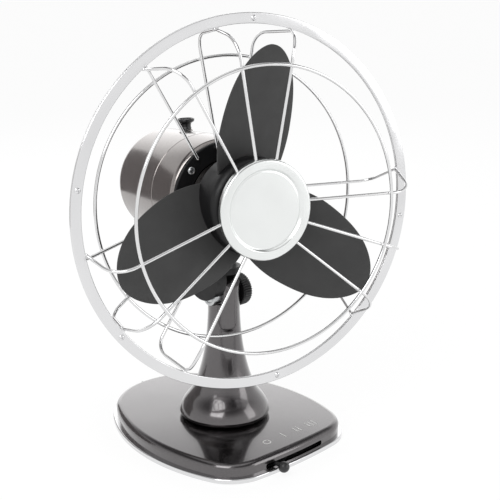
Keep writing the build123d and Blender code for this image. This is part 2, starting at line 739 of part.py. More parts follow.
def motor_front_housing():
    """Front half of the case with the bearing nose and the post socket."""
    face_r = CASE_FRONT_R - CASE_FRONT_ROUND
    bend_y = CASE_FRONT_Y + CASE_FRONT_ROUND
    shell = turned([
        (BEARING_R + FIT_GAP, NOSE_TIP_Y), (NOSE_TIP_R, NOSE_TIP_Y), (NOSE_R, CASE_FRONT_Y),
        (face_r, CASE_FRONT_Y), (CASE_FRONT_R, bend_y), (CASE_R, SEAM_Y), (CASE_R - CASE_WALL, SEAM_Y),
        (CASE_FRONT_R - CASE_WALL, bend_y), (face_r - CASE_WALL / 2, CASE_FRONT_Y + CASE_WALL),
        (NOSE_R - CASE_WALL, CASE_FRONT_Y + CASE_WALL), (NOSE_TIP_R - CASE_WALL, NOSE_TIP_Y + BEARING_L),
        (BEARING_R + FIT_GAP, NOSE_TIP_Y + BEARING_L),
    ])
    shell += pillar(SOCKET_R, SOCKET_BOTTOM, SOCKET_TOP)
    shell -= pillar(POST_R + RUN_GAP, SOCKET_BOTTOM - PAST, SOCKET_TOP + PAST)
    for angle in guard_screw_angles():
        x, z = on_circle(GUARD_SCREW_CIRCLE, angle)
        shell -= disc(GUARD_SCREW_R + FIT_GAP, CASE_FRONT_Y - PAST, CASE_WALL + 2 * PAST, x, z)
    return shell


def stator_seat():
    """Radius and far end of the bore that holds the stator."""
    end = STATOR_END + PAST
    return case_radius(end) - CASE_WALL, end


def motor_rear_housing():
    tip_r = CASE_REAR_R - CASE_REAR_ROUND
    inner_r, inner_end = CASE_REAR_R - CASE_WALL, CASE_REAR_Y - CASE_WALL
    seat_r, seat_end = stator_seat()
    outer = [
        Line((0, CASE_REAR_Y), (0, SEAM_Y)),
        Line((0, SEAM_Y), (CASE_R, SEAM_Y)),
        Line((CASE_R, SEAM_Y), (CASE_REAR_R, CASE_BEND_Y)),
        RadiusArc((CASE_REAR_R, CASE_BEND_Y), (tip_r, CASE_REAR_Y), -CASE_REAR_ROUND),
        Line((tip_r, CASE_REAR_Y), (0, CASE_REAR_Y)),
    ]
    inner = [
        Line((0, inner_end), (0, SEAM_Y)),
        Line((0, SEAM_Y), (seat_r, SEAM_Y)),
        Line((seat_r, SEAM_Y), (seat_r, seat_end)),
        Line((seat_r, seat_end), (inner_r, seat_end)),
        Line((inner_r, seat_end), (inner_r, CASE_BEND_Y)),
        RadiusArc((inner_r, CASE_BEND_Y), (tip_r, inner_end), CASE_WALL - CASE_REAR_ROUND),
        Line((tip_r, inner_end), (0, inner_end)),
    ]
    shell = revolve(make_face(outer), Axis.Y) - revolve(make_face(inner), Axis.Y)
    shell -= pillar(CLUTCH_STEM_R + RUN_GAP, 0, FAR, WHEEL_X, WHEEL_Y)
    return shell - pillar(CRANK_SHAFT_R + CRANK_HOLE_GAP, -FAR, 0, WHEEL_X, WHEEL_Y)


def stator_core():
    core = disc(stator_seat()[0] - RUN_GAP, STATOR_START, STATOR_L)
    return core - disc(STATOR_BORE_R, STATOR_START - PAST, STATOR_L + 2 * PAST)


def stator_coil(start):
    ring = disc(COIL_OUTER_R, start, COIL_L)
    ring = fillet(ring.edges(), COIL_ROUND)
    return ring - disc(COIL_INNER_R, start - PAST, COIL_L + 2 * PAST)


def bearing(start):
    return disc(BEARING_R, start, BEARING_L) - disc(SHAFT_R + RUN_GAP, start - PAST, BEARING_L + 2 * PAST)


def bearing_bridge():
    plate = disc(CASE_REAR_R - CASE_WALL - RUN_GAP, BRIDGE_Y, BRIDGE_T)
    return plate - disc(BEARING_R + FIT_GAP, BRIDGE_Y - PAST, BRIDGE_T + 2 * PAST)


def motor_shaft():
    return disc(SHAFT_R, SHAFT_FRONT_Y, SHAFT_REAR_Y - SHAFT_FRONT_Y)


def rotor_core():
    core = disc(STATOR_BORE_R - AIR_GAP, STATOR_START, STATOR_L)
    return core - disc(SHAFT_R + FIT_GAP, STATOR_START - PAST, STATOR_L + 2 * PAST)


def worm():
    thread = disc(WORM_R, WHEEL_Y - WORM_L / 2, WORM_L)
    return thread - disc(SHAFT_R + FIT_GAP, WHEEL_Y - WORM_L, 2 * WORM_L)


# Hub and blades

def blade_hub():
    """Cup with a closed front, a wall and a sleeve on the shaft."""
    bend_y = HUB_FRONT_Y + HUB_ROUND
    floor_y = HUB_FRONT_Y + HUB_WALL
    bore_r = SHAFT_R + FIT_GAP
    return turned([
        (bore_r, HUB_FRONT_Y), (HUB_R - HUB_ROUND, HUB_FRONT_Y), (HUB_R, bend_y), (HUB_R, HUB_BACK_Y),
        (HUB_R - HUB_WALL, HUB_BACK_Y), (HUB_R - HUB_WALL, bend_y), (HUB_R - HUB_ROUND, floor_y),
        (HUB_SLEEVE_R, floor_y), (HUB_SLEEVE_R, HUB_BACK_Y - HUB_WALL), (bore_r, HUB_BACK_Y - HUB_WALL),
    ])


def hub_nut():
    plan = RegularPolygon(HUB_NUT_R, 6) - Circle(SHAFT_R + FIT_GAP)
    return Pos(0, HUB_FRONT_Y - HUB_NUT_T, 0) * Rot(-90, 0, 0) * extrude(plan, HUB_NUT_T)


def blade(angle):
    """Leaf-shaped blade, pitched and leant forward, that ends at the hub wall."""
    root, wide, tip = BLADE_ROOT_R, BLADE_WIDE_R, BLADE_TIP_R
    near_tip = (tip - BLADE_TIP_BACK, BLADE_TIP_HALF_W)
    side = Spline((root, BLADE_ROOT_HALF_W), (wide, BLADE_HALF_W), near_tip, (tip, 0),
                  tangents=[(1, BLADE_ROOT_FLARE), (0, -1)])
    heel = Line((root, BLADE_ROOT_HALF_W), (root, -BLADE_ROOT_HALF_W))
    leaf = make_face([side, side.mirror(Plane.XZ), heel])
    plate = Rot(90, 0, 0) * extrude(leaf, BLADE_T / 2, both=True)
    plate = Rot(0, 0, -BLADE_CONE) * Rot(BLADE_PITCH, 0, 0) * plate
    plate = Pos(0, HUB_BACK_Y - BLADE_SETBACK, 0) * plate
    return around(angle) * plate - disc(HUB_R + FIT_GAP, HUB_FRONT_Y - HUB_L, 3 * HUB_L)


# Guard

def guard_screw_angles():
    return [middle + GUARD_SCREW_ANGLE for middle in TRIO_ANGLES]


def wire(stops, bends):
    """Round wire along a bent path given as (radius, angle, y) stops."""
    points = []
    for radius, angle, y in stops:
        x, z = on_circle(radius, angle)
        points.append((x, y, z))
    path = FilletPolyline(*points, radius=bends)
    section = Plane(path @ 0, z_dir=path % 0) * Circle(WIRE_R)
    return sweep(section, path=path)


def front_spoke(middle, side):
    """Spoke of a trio: side is -1, 0 or 1, and the outer two draw together at the knee."""
    return wire([
        (FRONT_INNER_R, middle + side * TRIO_INNER_SPREAD, RIM_Y - FRONT_INNER_DEPTH),
        (FRONT_KNEE_R, middle + side * TRIO_KNEE_SPREAD, RIM_Y - FRONT_KNEE_DEPTH),
        (SPOKE_END_R, middle + side * TRIO_RIM_SPREAD, RIM_Y - SPOKE_END_GAP),
    ], FRONT_BEND_R)


def rear_spoke(middle, side):
    """Spoke of a trio behind the blades, its inner end turned back into the plate."""
    inner_angle = middle + side * TRIO_INNER_SPREAD
    return wire([
        (REAR_INNER_R, inner_angle, CASE_FRONT_Y - SPOKE_END_GAP),
        (REAR_INNER_R, inner_angle, RIM_Y + REAR_INNER_DEPTH),
        (REAR_KNEE_R, middle + side * TRIO_KNEE_SPREAD, RIM_Y + REAR_KNEE_DEPTH),
        (SPOKE_END_R, middle + side * TRIO_RIM_SPREAD, RIM_Y + SPOKE_END_GAP),
    ], [REAR_END_BEND_R, REAR_BEND_R])


def run_depth(radius, inner_r, inner_depth, knee_r, knee_depth):
    """Depth of a spoke's straight run at a radius."""
    return inner_depth + (knee_depth - inner_depth) * (radius - inner_r) / (knee_r - inner_r)


def hoop(radius, y):
    return Pos(0, y, 0) * Rot(90, 0, 0) * Torus(radius, RING_WIRE_R)


def front_ring():
    """Hoop welded in front of the front spokes."""
    depth = run_depth(FRONT_RING_R, FRONT_INNER_R, FRONT_INNER_DEPTH, FRONT_KNEE_R, FRONT_KNEE_DEPTH)
    return hoop(FRONT_RING_R, RIM_Y - depth - RING_STACK)


def rear_ring():
    """Hoop welded behind the rear spokes."""
    depth = run_depth(REAR_RING_R, REAR_INNER_R, REAR_INNER_DEPTH, REAR_KNEE_R, REAR_KNEE_DEPTH)
    return hoop(REAR_RING_R, RIM_Y + depth + RING_STACK)


def rim_band(start):
    band = disc(RIM_R, start, RIM_T) - disc(RIM_INNER_R, start - PAST, RIM_T + 2 * PAST)
    for angle in RIM_SCREW_ANGLES:
        x, z = on_circle(RIM_SCREW_CIRCLE, angle)
        band -= disc(RIM_SCREW_R + RUN_GAP, start - PAST, RIM_T + 2 * PAST, x, z)
    return band


def rim_screw(angle):
    front = RIM_Y - RIM_T
    x, z = on_circle(RIM_SCREW_CIRCLE, angle)
    head = disc(RIM_SCREW_HEAD_R, front - RIM_SCREW_HEAD_T, RIM_SCREW_HEAD_T, x, z)
    head = fillet(head.edges().sort_by(Axis.Y)[0], RIM_SCREW_HEAD_T * HEAD_ROUND_SHARE)
    return head + disc(RIM_SCREW_R, front, 2 * RIM_T + RIM_NUT_T, x, z)


def rim_nut(angle):
    plan = RegularPolygon(RIM_NUT_R, 6) - Circle(RIM_SCREW_R + FIT_GAP)
    x, z = on_circle(RIM_SCREW_CIRCLE, angle)
    return Pos(x, RIM_Y + RIM_T, z) * Rot(-90, 0, 0) * extrude(plan, RIM_NUT_T)


def guard_mount_plate():
    """Ring behind the rear guard that takes the inner ends of its spokes."""
    plate = disc(GUARD_PLATE_R, GUARD_PLATE_Y, GUARD_PLATE_T)
    plate = fillet(plate.edges().sort_by(Axis.Y)[0], GUARD_PLATE_ROUND)
    plate -= disc(NOSE_R + GUARD_PLATE_GAP, GUARD_PLATE_Y - PAST, GUARD_PLATE_T + 2 * PAST)
    holes = [(GUARD_SCREW_CIRCLE, GUARD_SCREW_R, angle) for angle in guard_screw_angles()]
    for middle in TRIO_ANGLES:
        for side in SIDES:
            holes.append((REAR_INNER_R, WIRE_R, middle + side * TRIO_INNER_SPREAD))
    for circle, radius, angle in holes:
        x, z = on_circle(circle, angle)
        plate -= disc(radius + RUN_GAP, GUARD_PLATE_Y - PAST, GUARD_PLATE_T + 2 * PAST, x, z)
    return plate


def guard_screw(angle):
    x, z = on_circle(GUARD_SCREW_CIRCLE, angle)
    head = disc(GUARD_SCREW_HEAD_R, GUARD_PLATE_Y - GUARD_SCREW_HEAD_T, GUARD_SCREW_HEAD_T, x, z)
    head = fillet(head.edges().sort_by(Axis.Y)[0], GUARD_SCREW_HEAD_T * HEAD_ROUND_SHARE)
    return head + disc(GUARD_SCREW_R, GUARD_PLATE_Y, GUARD_SCREW_L, x, z)


def badge():
    """Dished disc with a raised rim and a turned-back wall."""
    floor_y = BADGE_Y + BADGE_STEP
    return turned([
        (0, floor_y), (BADGE_STEP_R - BADGE_STEP, floor_y), (BADGE_STEP_R, BADGE_Y),
        (BADGE_R - BADGE_STEP, BADGE_Y), (BADGE_R, floor_y), (BADGE_R, BADGE_BACK_Y),
        (BADGE_R - BADGE_T, BADGE_BACK_Y), (BADGE_R - BADGE_T, floor_y),
        (BADGE_R - BADGE_STEP, BADGE_Y + BADGE_T), (BADGE_STEP_R, BADGE_Y + BADGE_T),
        (BADGE_STEP_R - BADGE_STEP, floor_y + BADGE_T), (0, floor_y + BADGE_T),
    ])


def badge_plate():
    return disc(BADGE_R - BADGE_T - RUN_GAP, BADGE_BACK_Y - BADGE_PLATE_T, BADGE_PLATE_T)


# Nodes

def build_base():
    keep("base_shell", base_shell())
    keep("base_trim", base_trim())
    keep("base_plate", base_plate())
    keep("rubber_feet", [rubber_foot(x, y) for x, y in foot_places()])
    keep("base_screws", [base_screw(x, y) for x, y in boss_places()])
    keep("ballast", ballast())
    keep("speed_switch", speed_switch())
    keep("speed_lever", speed_lever())
    keep("lever_ball", lever_ball())
    keep("cord_grommet", cord_grommet())


def build_neck():
    keep("neck_column", neck_column())
    keep("neck_screws", [neck_screw(x, y) for x, y in neck_screw_places()])
    keep("tilt_bolt", tilt_bolt())
    keep("tilt_washer", tilt_washer())
    keep("tilt_knob", tilt_knob())
    keep("knob_insert", knob_insert())
    keep("tilt_bracket", tilt_bracket(), BRACKET)
    keep("tilt_disc", tilt_disc(), BRACKET)
    keep("pivot_post", pivot_post(), BRACKET)
    keep("post_collar", post_collar(), BRACKET)
    keep("thrust_washer", thrust_washer(), BRACKET)
    keep("link_stud", link_stud(), BRACKET)


def build_motor():
    keep("motor_front_housing", motor_front_housing(), HEAD)
    keep("motor_rear_housing", motor_rear_housing(), HEAD)
    keep("stator_core", stator_core(), HEAD)
    keep("stator_coils", [stator_coil(STATOR_START - COIL_L), stator_coil(STATOR_END)], HEAD)
    keep("front_bearing", bearing(NOSE_TIP_Y), HEAD)
    keep("rear_bearing", bearing(BRIDGE_Y + BRIDGE_T - BEARING_L), HEAD)
    keep("bearing_bridge", bearing_bridge(), HEAD)
    keep("motor_shaft", motor_shaft(), HEAD)
    keep("rotor_core", rotor_core(), HEAD)
    keep("worm", worm(), HEAD)
    keep("gear_frame", gear_frame(), HEAD)
    keep("worm_wheel", worm_wheel(), HEAD)
    keep("crank_shaft", crank_shaft(), HEAD)
    keep("crank_disc", crank_disc(), HEAD)
    keep("drive_link", drive_link(), HEAD)
    keep("clutch_stem", clutch_stem(), HEAD)
    keep("clutch_knob", clutch_knob(), HEAD)


def build_fan():
    keep("blade_hub", blade_hub(), HEAD)
    keep("hub_nut", hub_nut(), HEAD)
    for i in range(BLADE_COUNT):
        keep(f"blade_{i + 1}", blade(BLADE_ANGLE + 360 * i / BLADE_COUNT), HEAD)


def build_guard():
    keep("guard_mount_plate", guard_mount_plate(), HEAD)
    keep("guard_screws", [guard_screw(angle) for angle in guard_screw_angles()], HEAD)
    keep("rim_front", rim_band(RIM_Y - RIM_T), HEAD)
    keep("rim_rear", rim_band(RIM_Y), HEAD)
    keep("rim_screws", [rim_screw(angle) for angle in RIM_SCREW_ANGLES], HEAD)
    keep("rim_nuts", [rim_nut(angle) for angle in RIM_SCREW_ANGLES], HEAD)
    for i, middle in enumerate(TRIO_ANGLES):
        keep(f"front_spokes_{i + 1}", [front_spoke(middle, side) for side in SIDES], HEAD)
        keep(f"rear_spokes_{i + 1}", [rear_spoke(middle, side) for side in SIDES], HEAD)
    keep("front_ring", front_ring(), HEAD)
    keep("rear_ring", rear_ring(), HEAD)
    keep("badge", badge(), HEAD)
    keep("badge_plate", badge_plate(), HEAD)


build_base()
build_neck()
build_motor()
build_fan()
build_guard()
os.makedirs("parts", exist_ok=True)
for name, solids in PARTS.items():
    export_step(Compound(children=solids) if len(solids) > 1 else solids[0], f"parts/{name}.step")
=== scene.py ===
# %% [markdown]
# # A chromed desk fan
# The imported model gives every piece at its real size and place. This lesson keeps the pieces whose
# solids already look right, replaces the ones that want softer edges or finer detail with surfaces
# worked out in numpy, and gives each surface the finish of the real material.

# %% Load the frame
import json
from math import cos, pi, radians, sin, tan

import bmesh
import bpy
import numpy as np
from mathutils import Matrix, Vector


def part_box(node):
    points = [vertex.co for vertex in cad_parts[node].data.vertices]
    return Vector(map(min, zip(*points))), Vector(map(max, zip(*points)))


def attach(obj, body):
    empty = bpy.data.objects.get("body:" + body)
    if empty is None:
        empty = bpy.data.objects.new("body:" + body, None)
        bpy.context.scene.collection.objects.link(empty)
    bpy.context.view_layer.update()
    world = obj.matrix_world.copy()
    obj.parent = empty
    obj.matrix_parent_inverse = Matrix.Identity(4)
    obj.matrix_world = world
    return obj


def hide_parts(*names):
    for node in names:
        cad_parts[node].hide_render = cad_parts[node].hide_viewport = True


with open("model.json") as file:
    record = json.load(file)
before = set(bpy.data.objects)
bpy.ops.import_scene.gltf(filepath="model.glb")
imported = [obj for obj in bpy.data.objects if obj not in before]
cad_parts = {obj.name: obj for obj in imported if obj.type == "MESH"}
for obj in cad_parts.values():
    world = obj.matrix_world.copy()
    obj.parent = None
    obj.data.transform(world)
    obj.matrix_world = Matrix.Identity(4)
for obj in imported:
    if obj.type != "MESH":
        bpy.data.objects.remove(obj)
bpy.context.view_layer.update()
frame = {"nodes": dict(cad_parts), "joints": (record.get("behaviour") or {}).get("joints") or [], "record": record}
nodes = frame["nodes"]

# %% [markdown]
# The fan's head leans back a little and is swung to one side, so its pieces are easiest to work out in
# a frame of their own: right, back along the fan axis, and up, in millimetres. The joints of the packed
# model hold that frame already, so nothing is measured by eye.

# %% The head's own frame
MM = 0.001
joints = {row["name"]: row for row in frame["joints"]}
head_origin = np.array(joints["fan_spin"]["pos_m"])
head_back = np.array(joints["fan_spin"]["axis"])
head_up = np.array(joints["head_oscillation"]["axis"])
head_axes = np.stack([np.cross(head_back, head_up), head_back, head_up])
pivot = np.array(joints["head_tilt"]["pos_m"])


def from_head(points):
    """World place in metres: the origin plus each head axis times its share in millimetres."""
    return head_origin + (points * MM) @ head_axes


def from_floor(points):
    """World place in metres of points given in millimetres over the floor."""
    return points * MM


def in_head(node):
    """Corner points of a CAD node as millimetres in the head's frame."""
    mesh = nodes[node].data
    flat = np.zeros(len(mesh.vertices) * 3)
    mesh.vertices.foreach_get("co", flat)
    return (flat.reshape(-1, 3) - head_origin) @ head_axes.T / MM


def reach(node):
    """Least and greatest distance from the fan axis, and least and greatest place along it."""
    points = in_head(node)
    radius = np.hypot(points[:, 0], points[:, 2])
    return radius.min(), radius.max(), points[:, 1].min(), points[:, 1].max()


print("head frame at", head_origin.round(4), "pivot at", pivot.round(4))

# %% [markdown]
# Nearly every new piece is a grid: a function of two parameters, such as a profile and an angle. The
# helpers below turn a grid of points into faces, and join several grids into one mesh. Rows that shrink
# to a point are welded, so a pole is closed, and normals are then turned outwards.

# %% From grids to pieces
CREASE = 38.0
WELD = 1e-7


def surface(grid, close_rows=False, close_columns=True):
    """A grid of points as (points, faces): each cell joins a point to its next row and next column."""
    rows, columns = grid.shape[:2]
    row, column = np.meshgrid(np.arange(rows if close_rows else rows - 1),
                              np.arange(columns if close_columns else columns - 1), indexing="ij")
    below, beside = (row + 1) % rows, (column + 1) % columns
    corners = [row * columns + column, row * columns + beside,
               below * columns + beside, below * columns + column]
    return grid.reshape(-1, 3), np.stack(corners, axis=-1).reshape(-1, 4)


def joined(surfaces):
    """Several (points, faces) as one, with each surface's indices moved past those before it."""
    starts = np.cumsum([0] + [len(points) for points, _ in surfaces[:-1]])
    return (np.concatenate([points for points, _ in surfaces]),
            np.concatenate([faces + start for (_, faces), start in zip(surfaces, starts)]))


def piece(name, surfaces, place, material, body, stands_for=()):
    """A mesh object made from surfaces, smooth except at creases, that rides on a body."""
    points, faces = joined(surfaces)
    mesh = bpy.data.meshes.new(name)
    mesh.vertices.add(len(points))
    mesh.vertices.foreach_set("co", place(points).astype(np.float32).ravel())
    mesh.loops.add(faces.size)
    mesh.loops.foreach_set("vertex_index", faces.astype(np.int32).ravel())
    mesh.polygons.add(len(faces))
    mesh.polygons.foreach_set("loop_start", np.arange(0, faces.size, 4, dtype=np.int32))
    mesh.update(calc_edges=True)
    shape = bmesh.new()
    shape.from_mesh(mesh)
    bmesh.ops.remove_doubles(shape, verts=shape.verts, dist=WELD)
    bmesh.ops.recalc_face_normals(shape, faces=shape.faces)
    shape.to_mesh(mesh)
    shape.free()
    mesh.polygons.foreach_set("use_smooth", np.ones(len(mesh.polygons), dtype=bool))
    mesh.set_sharp_from_angle(angle=radians(CREASE))
    thing = bpy.data.objects.new(name, mesh)
    bpy.context.scene.collection.objects.link(thing)
    mesh.materials.append(material)
    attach(thing, body)
    if stands_for:
        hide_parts(*stands_for)
    print(name, len(mesh.polygons), "faces")
    return thing


# %% [markdown]
# Three families of surface make most of the fan. A turned part is a profile carried round an axis, a
# wire is a small circle carried along a bent path, and a bead of weld is a squashed ball.

# %% Turned parts, wires and beads
AROUND = 144
WIRE_SIDES = 14
BEAD_ROWS, BEAD_SIDES = 7, 10


def turned(profile, count=AROUND, close_profile=False, axis="y", centre=(0.0, 0.0)):
    """Profile of (radius, along) carried round an axis: one side is r cos a, the other r sin a."""
    angle = np.arange(count) * 2 * pi / count
    radius, along = profile[:, :1], profile[:, 1:] + 0 * angle
    one, other = radius * np.cos(angle) + centre[0], radius * np.sin(angle) + centre[1]
    order = {"y": [one, along, other], "z": [one, other, along], "x": [along, one, other]}[axis]
    return surface(np.stack(order, axis=-1), close_profile)


def unit(vector):
    """Vector of length one along the same direction."""
    return vector / np.linalg.norm(vector)


def bent(corners, radii, steps=12):
    """Path through corners, each rounded by an arc: the two radii to its ends are blended by sines."""
    corners = [np.array(corner, float) for corner in corners]
    share = np.linspace(0, 1, steps)[:, None]
    runs = [corners[:1]]
    for before, corner, after, radius in zip(corners[:-2], corners[1:-1], corners[2:], radii):
        to_before, to_after = unit(before - corner), unit(after - corner)
        half = np.arccos(np.clip(to_before @ to_after, -1, 1)) / 2
        turn = pi - 2 * half
        middle = corner + unit(to_before + to_after) * radius / sin(half)
        first = corner + to_before * radius / tan(half) - middle
        last = corner + to_after * radius / tan(half) - middle
        runs.append(middle + (np.sin((1 - share) * turn) * first + np.sin(share * turn) * last) / sin(turn))
    return np.vstack(runs + [corners[-1:]])


def wire(path, radius):
    """Round wire: a circle carried along a path, squared up to the way that runs round the fan axis."""
    run = np.gradient(path, axis=0)
    run /= np.linalg.norm(run, axis=1, keepdims=True)
    side = np.cross((0, 1, 0), path)
    side -= run * np.sum(run * side, axis=1, keepdims=True)
    side /= np.linalg.norm(side, axis=1, keepdims=True)
    turn = (np.arange(WIRE_SIDES) * 2 * pi / WIRE_SIDES)[None, :, None]
    other = np.cross(run, side)
    skin = path[:, None] + radius * (np.cos(turn) * side[:, None] + np.sin(turn) * other[:, None])
    ends = [np.repeat(path[None, [end]], WIRE_SIDES, axis=1) for end in (0, -1)]
    return surface(np.concatenate([ends[0], skin, ends[1]]))


def hoop(radius, along, wire_r):
    """Ring of round wire: a small circle of radius wire_r turned round the fan axis."""
    turn = np.arange(WIRE_SIDES) * 2 * pi / WIRE_SIDES
    section = np.stack([radius + wire_r * np.cos(turn), along + wire_r * np.sin(turn)], axis=1)
    return turned(section, 2 * AROUND, close_profile=True)


def bead(radius, along, angle, size):
    """Drop of weld: a ball of half sizes (out, along, aside) at a place on a circle about the axis."""
    tilt = np.linspace(0, pi, BEAD_ROWS)[:, None]
    turn = np.arange(BEAD_SIDES) * 2 * pi / BEAD_SIDES
    outward = radius + size[0] * np.sin(tilt) * np.cos(turn)
    aside = size[2] * np.sin(tilt) * np.sin(turn)
    depth = along + size[1] * np.cos(tilt) + 0 * turn
    a = radians(angle)
    across, up = outward * cos(a) - aside * sin(a), outward * sin(a) + aside * cos(a)
    return surface(np.stack([across, depth, up], axis=-1))


# %% [markdown]
# A finish starts from what the real surface is. One function turns the hex colours of sRGB into the
# linear numbers that a shader needs, one gives a pattern the scale at which its grain has a size in
# millimetres, and one adds a node. With those three, each finish below is a few lines.

# %% Colour, grain and nodes


def linear(colour):
    """sRGB hex to linear: divide by 12.92 below the knee, raise to 2.4 above it."""
    value = np.array([int(colour[i:i + 2], 16) for i in (1, 3, 5)]) / 255
    curve = np.where(value <= 0.04045, value / 12.92, ((value + 0.055) / 1.055) ** 2.4)
    return (*curve.tolist(), 1.0)


def grain(size):
    """Texture scale at which one repeat measures size millimetres, on coordinates in metres."""
    return 1 / (size * MM)


def add(tree, kind, settings=(), values=(), links=(), stops=()):
    """One node with its settings, socket values and links, and the colours of its ramp if it has one."""
    node = tree.nodes.new(kind)
    for key, value in dict(settings).items():
        setattr(node, key, value)
    for socket, value in dict(values).items():
        node.inputs[socket].default_value = value
    for socket, source in dict(links).items():
        tree.links.new(source, node.inputs[socket])
    for element, (place, colour) in zip(node.color_ramp.elements if stops else (), stops):
        element.position = place
        element.color = linear(colour)
    return node


def finish(name, values, tone, rough, bump, stretch=(1, 1, 1), flakes=False):
    """Material: a colour that drifts between two tones, a roughness that drifts, and a fine relief.

    tone is (grain in mm, dark, light), rough is (grain in mm, low, high), and bump is (grain in mm, height
    in mm). stretch shrinks the relief along an axis, so brushing runs along the axis with the small number.
    """
    material = bpy.data.materials.new(name)
    material.use_nodes = True
    tree = material.node_tree
    shader = tree.nodes["Principled BSDF"]
    for socket, value in values.items():
        shader.inputs[socket].default_value = value
    place = add(tree, "ShaderNodeTexCoord").outputs["Object"]
    kind = "ShaderNodeTexVoronoi" if flakes else "ShaderNodeTexNoise"
    cloud = add(tree, kind, values={"Scale": grain(tone[0])}, links={"Vector": place})
    shade = add(tree, "ShaderNodeValToRGB", links={"Fac": cloud.outputs["Color"]},
                stops=[(0.25, tone[1]), (0.75, tone[2])])
    tree.links.new(shade.outputs["Color"], shader.inputs["Base Color"])
    haze = add(tree, "ShaderNodeTexNoise", values={"Scale": grain(rough[0]), "Detail": 3},
               links={"Vector": place})
    span = add(tree, "ShaderNodeMapRange", links={"Value": haze.outputs["Fac"]},
               values={"From Min": 0.3, "From Max": 0.7, "To Min": rough[1], "To Max": rough[2]})
    tree.links.new(span.outputs["Result"], shader.inputs["Roughness"])
    turned_place = add(tree, "ShaderNodeMapping", values={"Scale": stretch}, links={"Vector": place})
    relief = add(tree, "ShaderNodeTexNoise", values={"Scale": grain(bump[0]), "Detail": 2},
                 links={"Vector": turned_place.outputs["Vector"]})
    lift = add(tree, "ShaderNodeBump", values={"Strength": 1.0, "Distance": bump[1] * MM},
               links={"Height": relief.outputs["Fac"]})
    tree.links.new(lift.outputs["Normal"], shader.inputs["Normal"])
    return material


# %% [markdown]
# The base and neck are steel sprayed with a dark metallic enamel under clear lacquer. Its flakes are
# really about 0.05 mm across, so they are drawn at half a millimetre to show at all. The clear coat
# gives the sharp reflections, and its slight orange peel keeps them from being perfect.

# %% Sprayed enamels
finishes = {}
finishes["gunmetal_paint"] = finish(
    "gunmetal metallic enamel under clear lacquer",
    {"Metallic": 1.0, "Coat Weight": 1.0, "Coat Roughness": 0.04},
    tone=(0.5, "#565354", "#605d5e"), rough=(30, 0.18, 0.25), bump=(4, 0.006), flakes=True)
finishes["silver_paint"] = finish(
    "silver metallic lacquer on die-cast shell",
    {"Metallic": 1.0, "Coat Weight": 0.15, "Coat Roughness": 0.04},
    tone=(0.5, "#888381", "#948f8d"), rough=(30, 0.14, 0.2), bump=(4, 0.006), flakes=True)
finishes["black_enamel"] = finish(
    "black stoved enamel on cast metal",
    {"Metallic": 0.0, "Specular IOR Level": 0.3, "Coat Weight": 0.1, "Coat Roughness": 0.2},
    tone=(12, "#0d0d0e", "#131315"), rough=(10, 0.38, 0.5), bump=(1.5, 0.02))
# Sprayed matt and slightly pebbled, so a blade has soft broad highlights only.
finishes["blade_paint"] = finish(
    "charcoal matt enamel on pressed aluminium",
    {"Metallic": 0.0, "Specular IOR Level": 0.35},
    tone=(18, "#343434", "#3a3a3a"), rough=(14, 0.5, 0.62), bump=(0.9, 0.025))

# %% [markdown]
# Bright metal takes nearly all its look from what it reflects. Chrome plate is almost a mirror with the
# faintest haze, the badge is polished aluminium with turning marks, and the screws and links are zinc.

# %% Bright metals
finishes["chrome_trim"] = finish(
    "bright chrome plate on rolled steel", {"Metallic": 1.0},
    tone=(60, "#dcdcdd", "#e4e4e5"), rough=(25, 0.1, 0.16), bump=(9, 0.004))
finishes["chrome_wire"] = finish(
    "bright chrome plate on drawn wire", {"Metallic": 1.0},
    tone=(40, "#d9d9da", "#e8e8e8"), rough=(15, 0.08, 0.15), bump=(2.5, 0.004))
finishes["brushed_badge"] = finish(
    "polished spun aluminium", {"Metallic": 1.0},
    tone=(35, "#e6e8e7", "#eef0ef"), rough=(20, 0.2, 0.27), bump=(0.7, 0.004))
finishes["plated_steel"] = finish(
    "zinc plated steel", {"Metallic": 1.0},
    tone=(6, "#a9abad", "#c9cbcc"), rough=(5, 0.22, 0.36), bump=(0.6, 0.006))
finishes["laminated_iron"] = finish(
    "stacked iron laminations", {"Metallic": 1.0},
    tone=(3, "#5d5d5f", "#77777a"), rough=(4, 0.4, 0.55), bump=(0.6, 0.03), stretch=(0.05, 1, 0.05))
finishes["die_cast"] = finish(
    "die-cast aluminium, as cast", {"Metallic": 1.0},
    tone=(8, "#9b9c9e", "#b4b5b6"), rough=(4, 0.42, 0.58), bump=(1.2, 0.03))
finishes["bronze"] = finish(
    "sintered bronze, machined", {"Metallic": 1.0},
    tone=(5, "#9c7a43", "#b8935a"), rough=(4, 0.28, 0.42), bump=(0.8, 0.012))
finishes["cast_weight"] = finish(
    "grey cast iron", {"Metallic": 0.6},
    tone=(4, "#333435", "#46474a"), rough=(3, 0.6, 0.8), bump=(1.5, 0.1))

# %% [markdown]
# The knobs are moulded in black plastic with a satin skin, and the feet and the inlet bush are rubber.
# The speed marks are pale screen print, thin enough that only their colour shows.

# %% Plastic, rubber and print
finishes["black_plastic"] = finish(
    "black moulded phenolic", {"Metallic": 0.0, "Coat Weight": 0.25, "Coat Roughness": 0.2},
    tone=(10, "#0e0e10", "#151517"), rough=(6, 0.34, 0.46), bump=(0.8, 0.012))
finishes["black_rubber"] = finish(
    "black moulded rubber", {"Metallic": 0.0, "Specular IOR Level": 0.4},
    tone=(5, "#161616", "#202020"), rough=(4, 0.65, 0.85), bump=(0.6, 0.03))
print_ink = finish(
    "pale grey screen print", {"Metallic": 0.0},
    tone=(3, "#c9c9c7", "#dadad8"), rough=(2, 0.4, 0.55), bump=(0.5, 0.004))
for row in frame["record"]["subparts"]:
    mesh = nodes[row["node"]].data
    mesh.materials.clear()
    mesh.materials.append(finishes[row["material_slot"]])

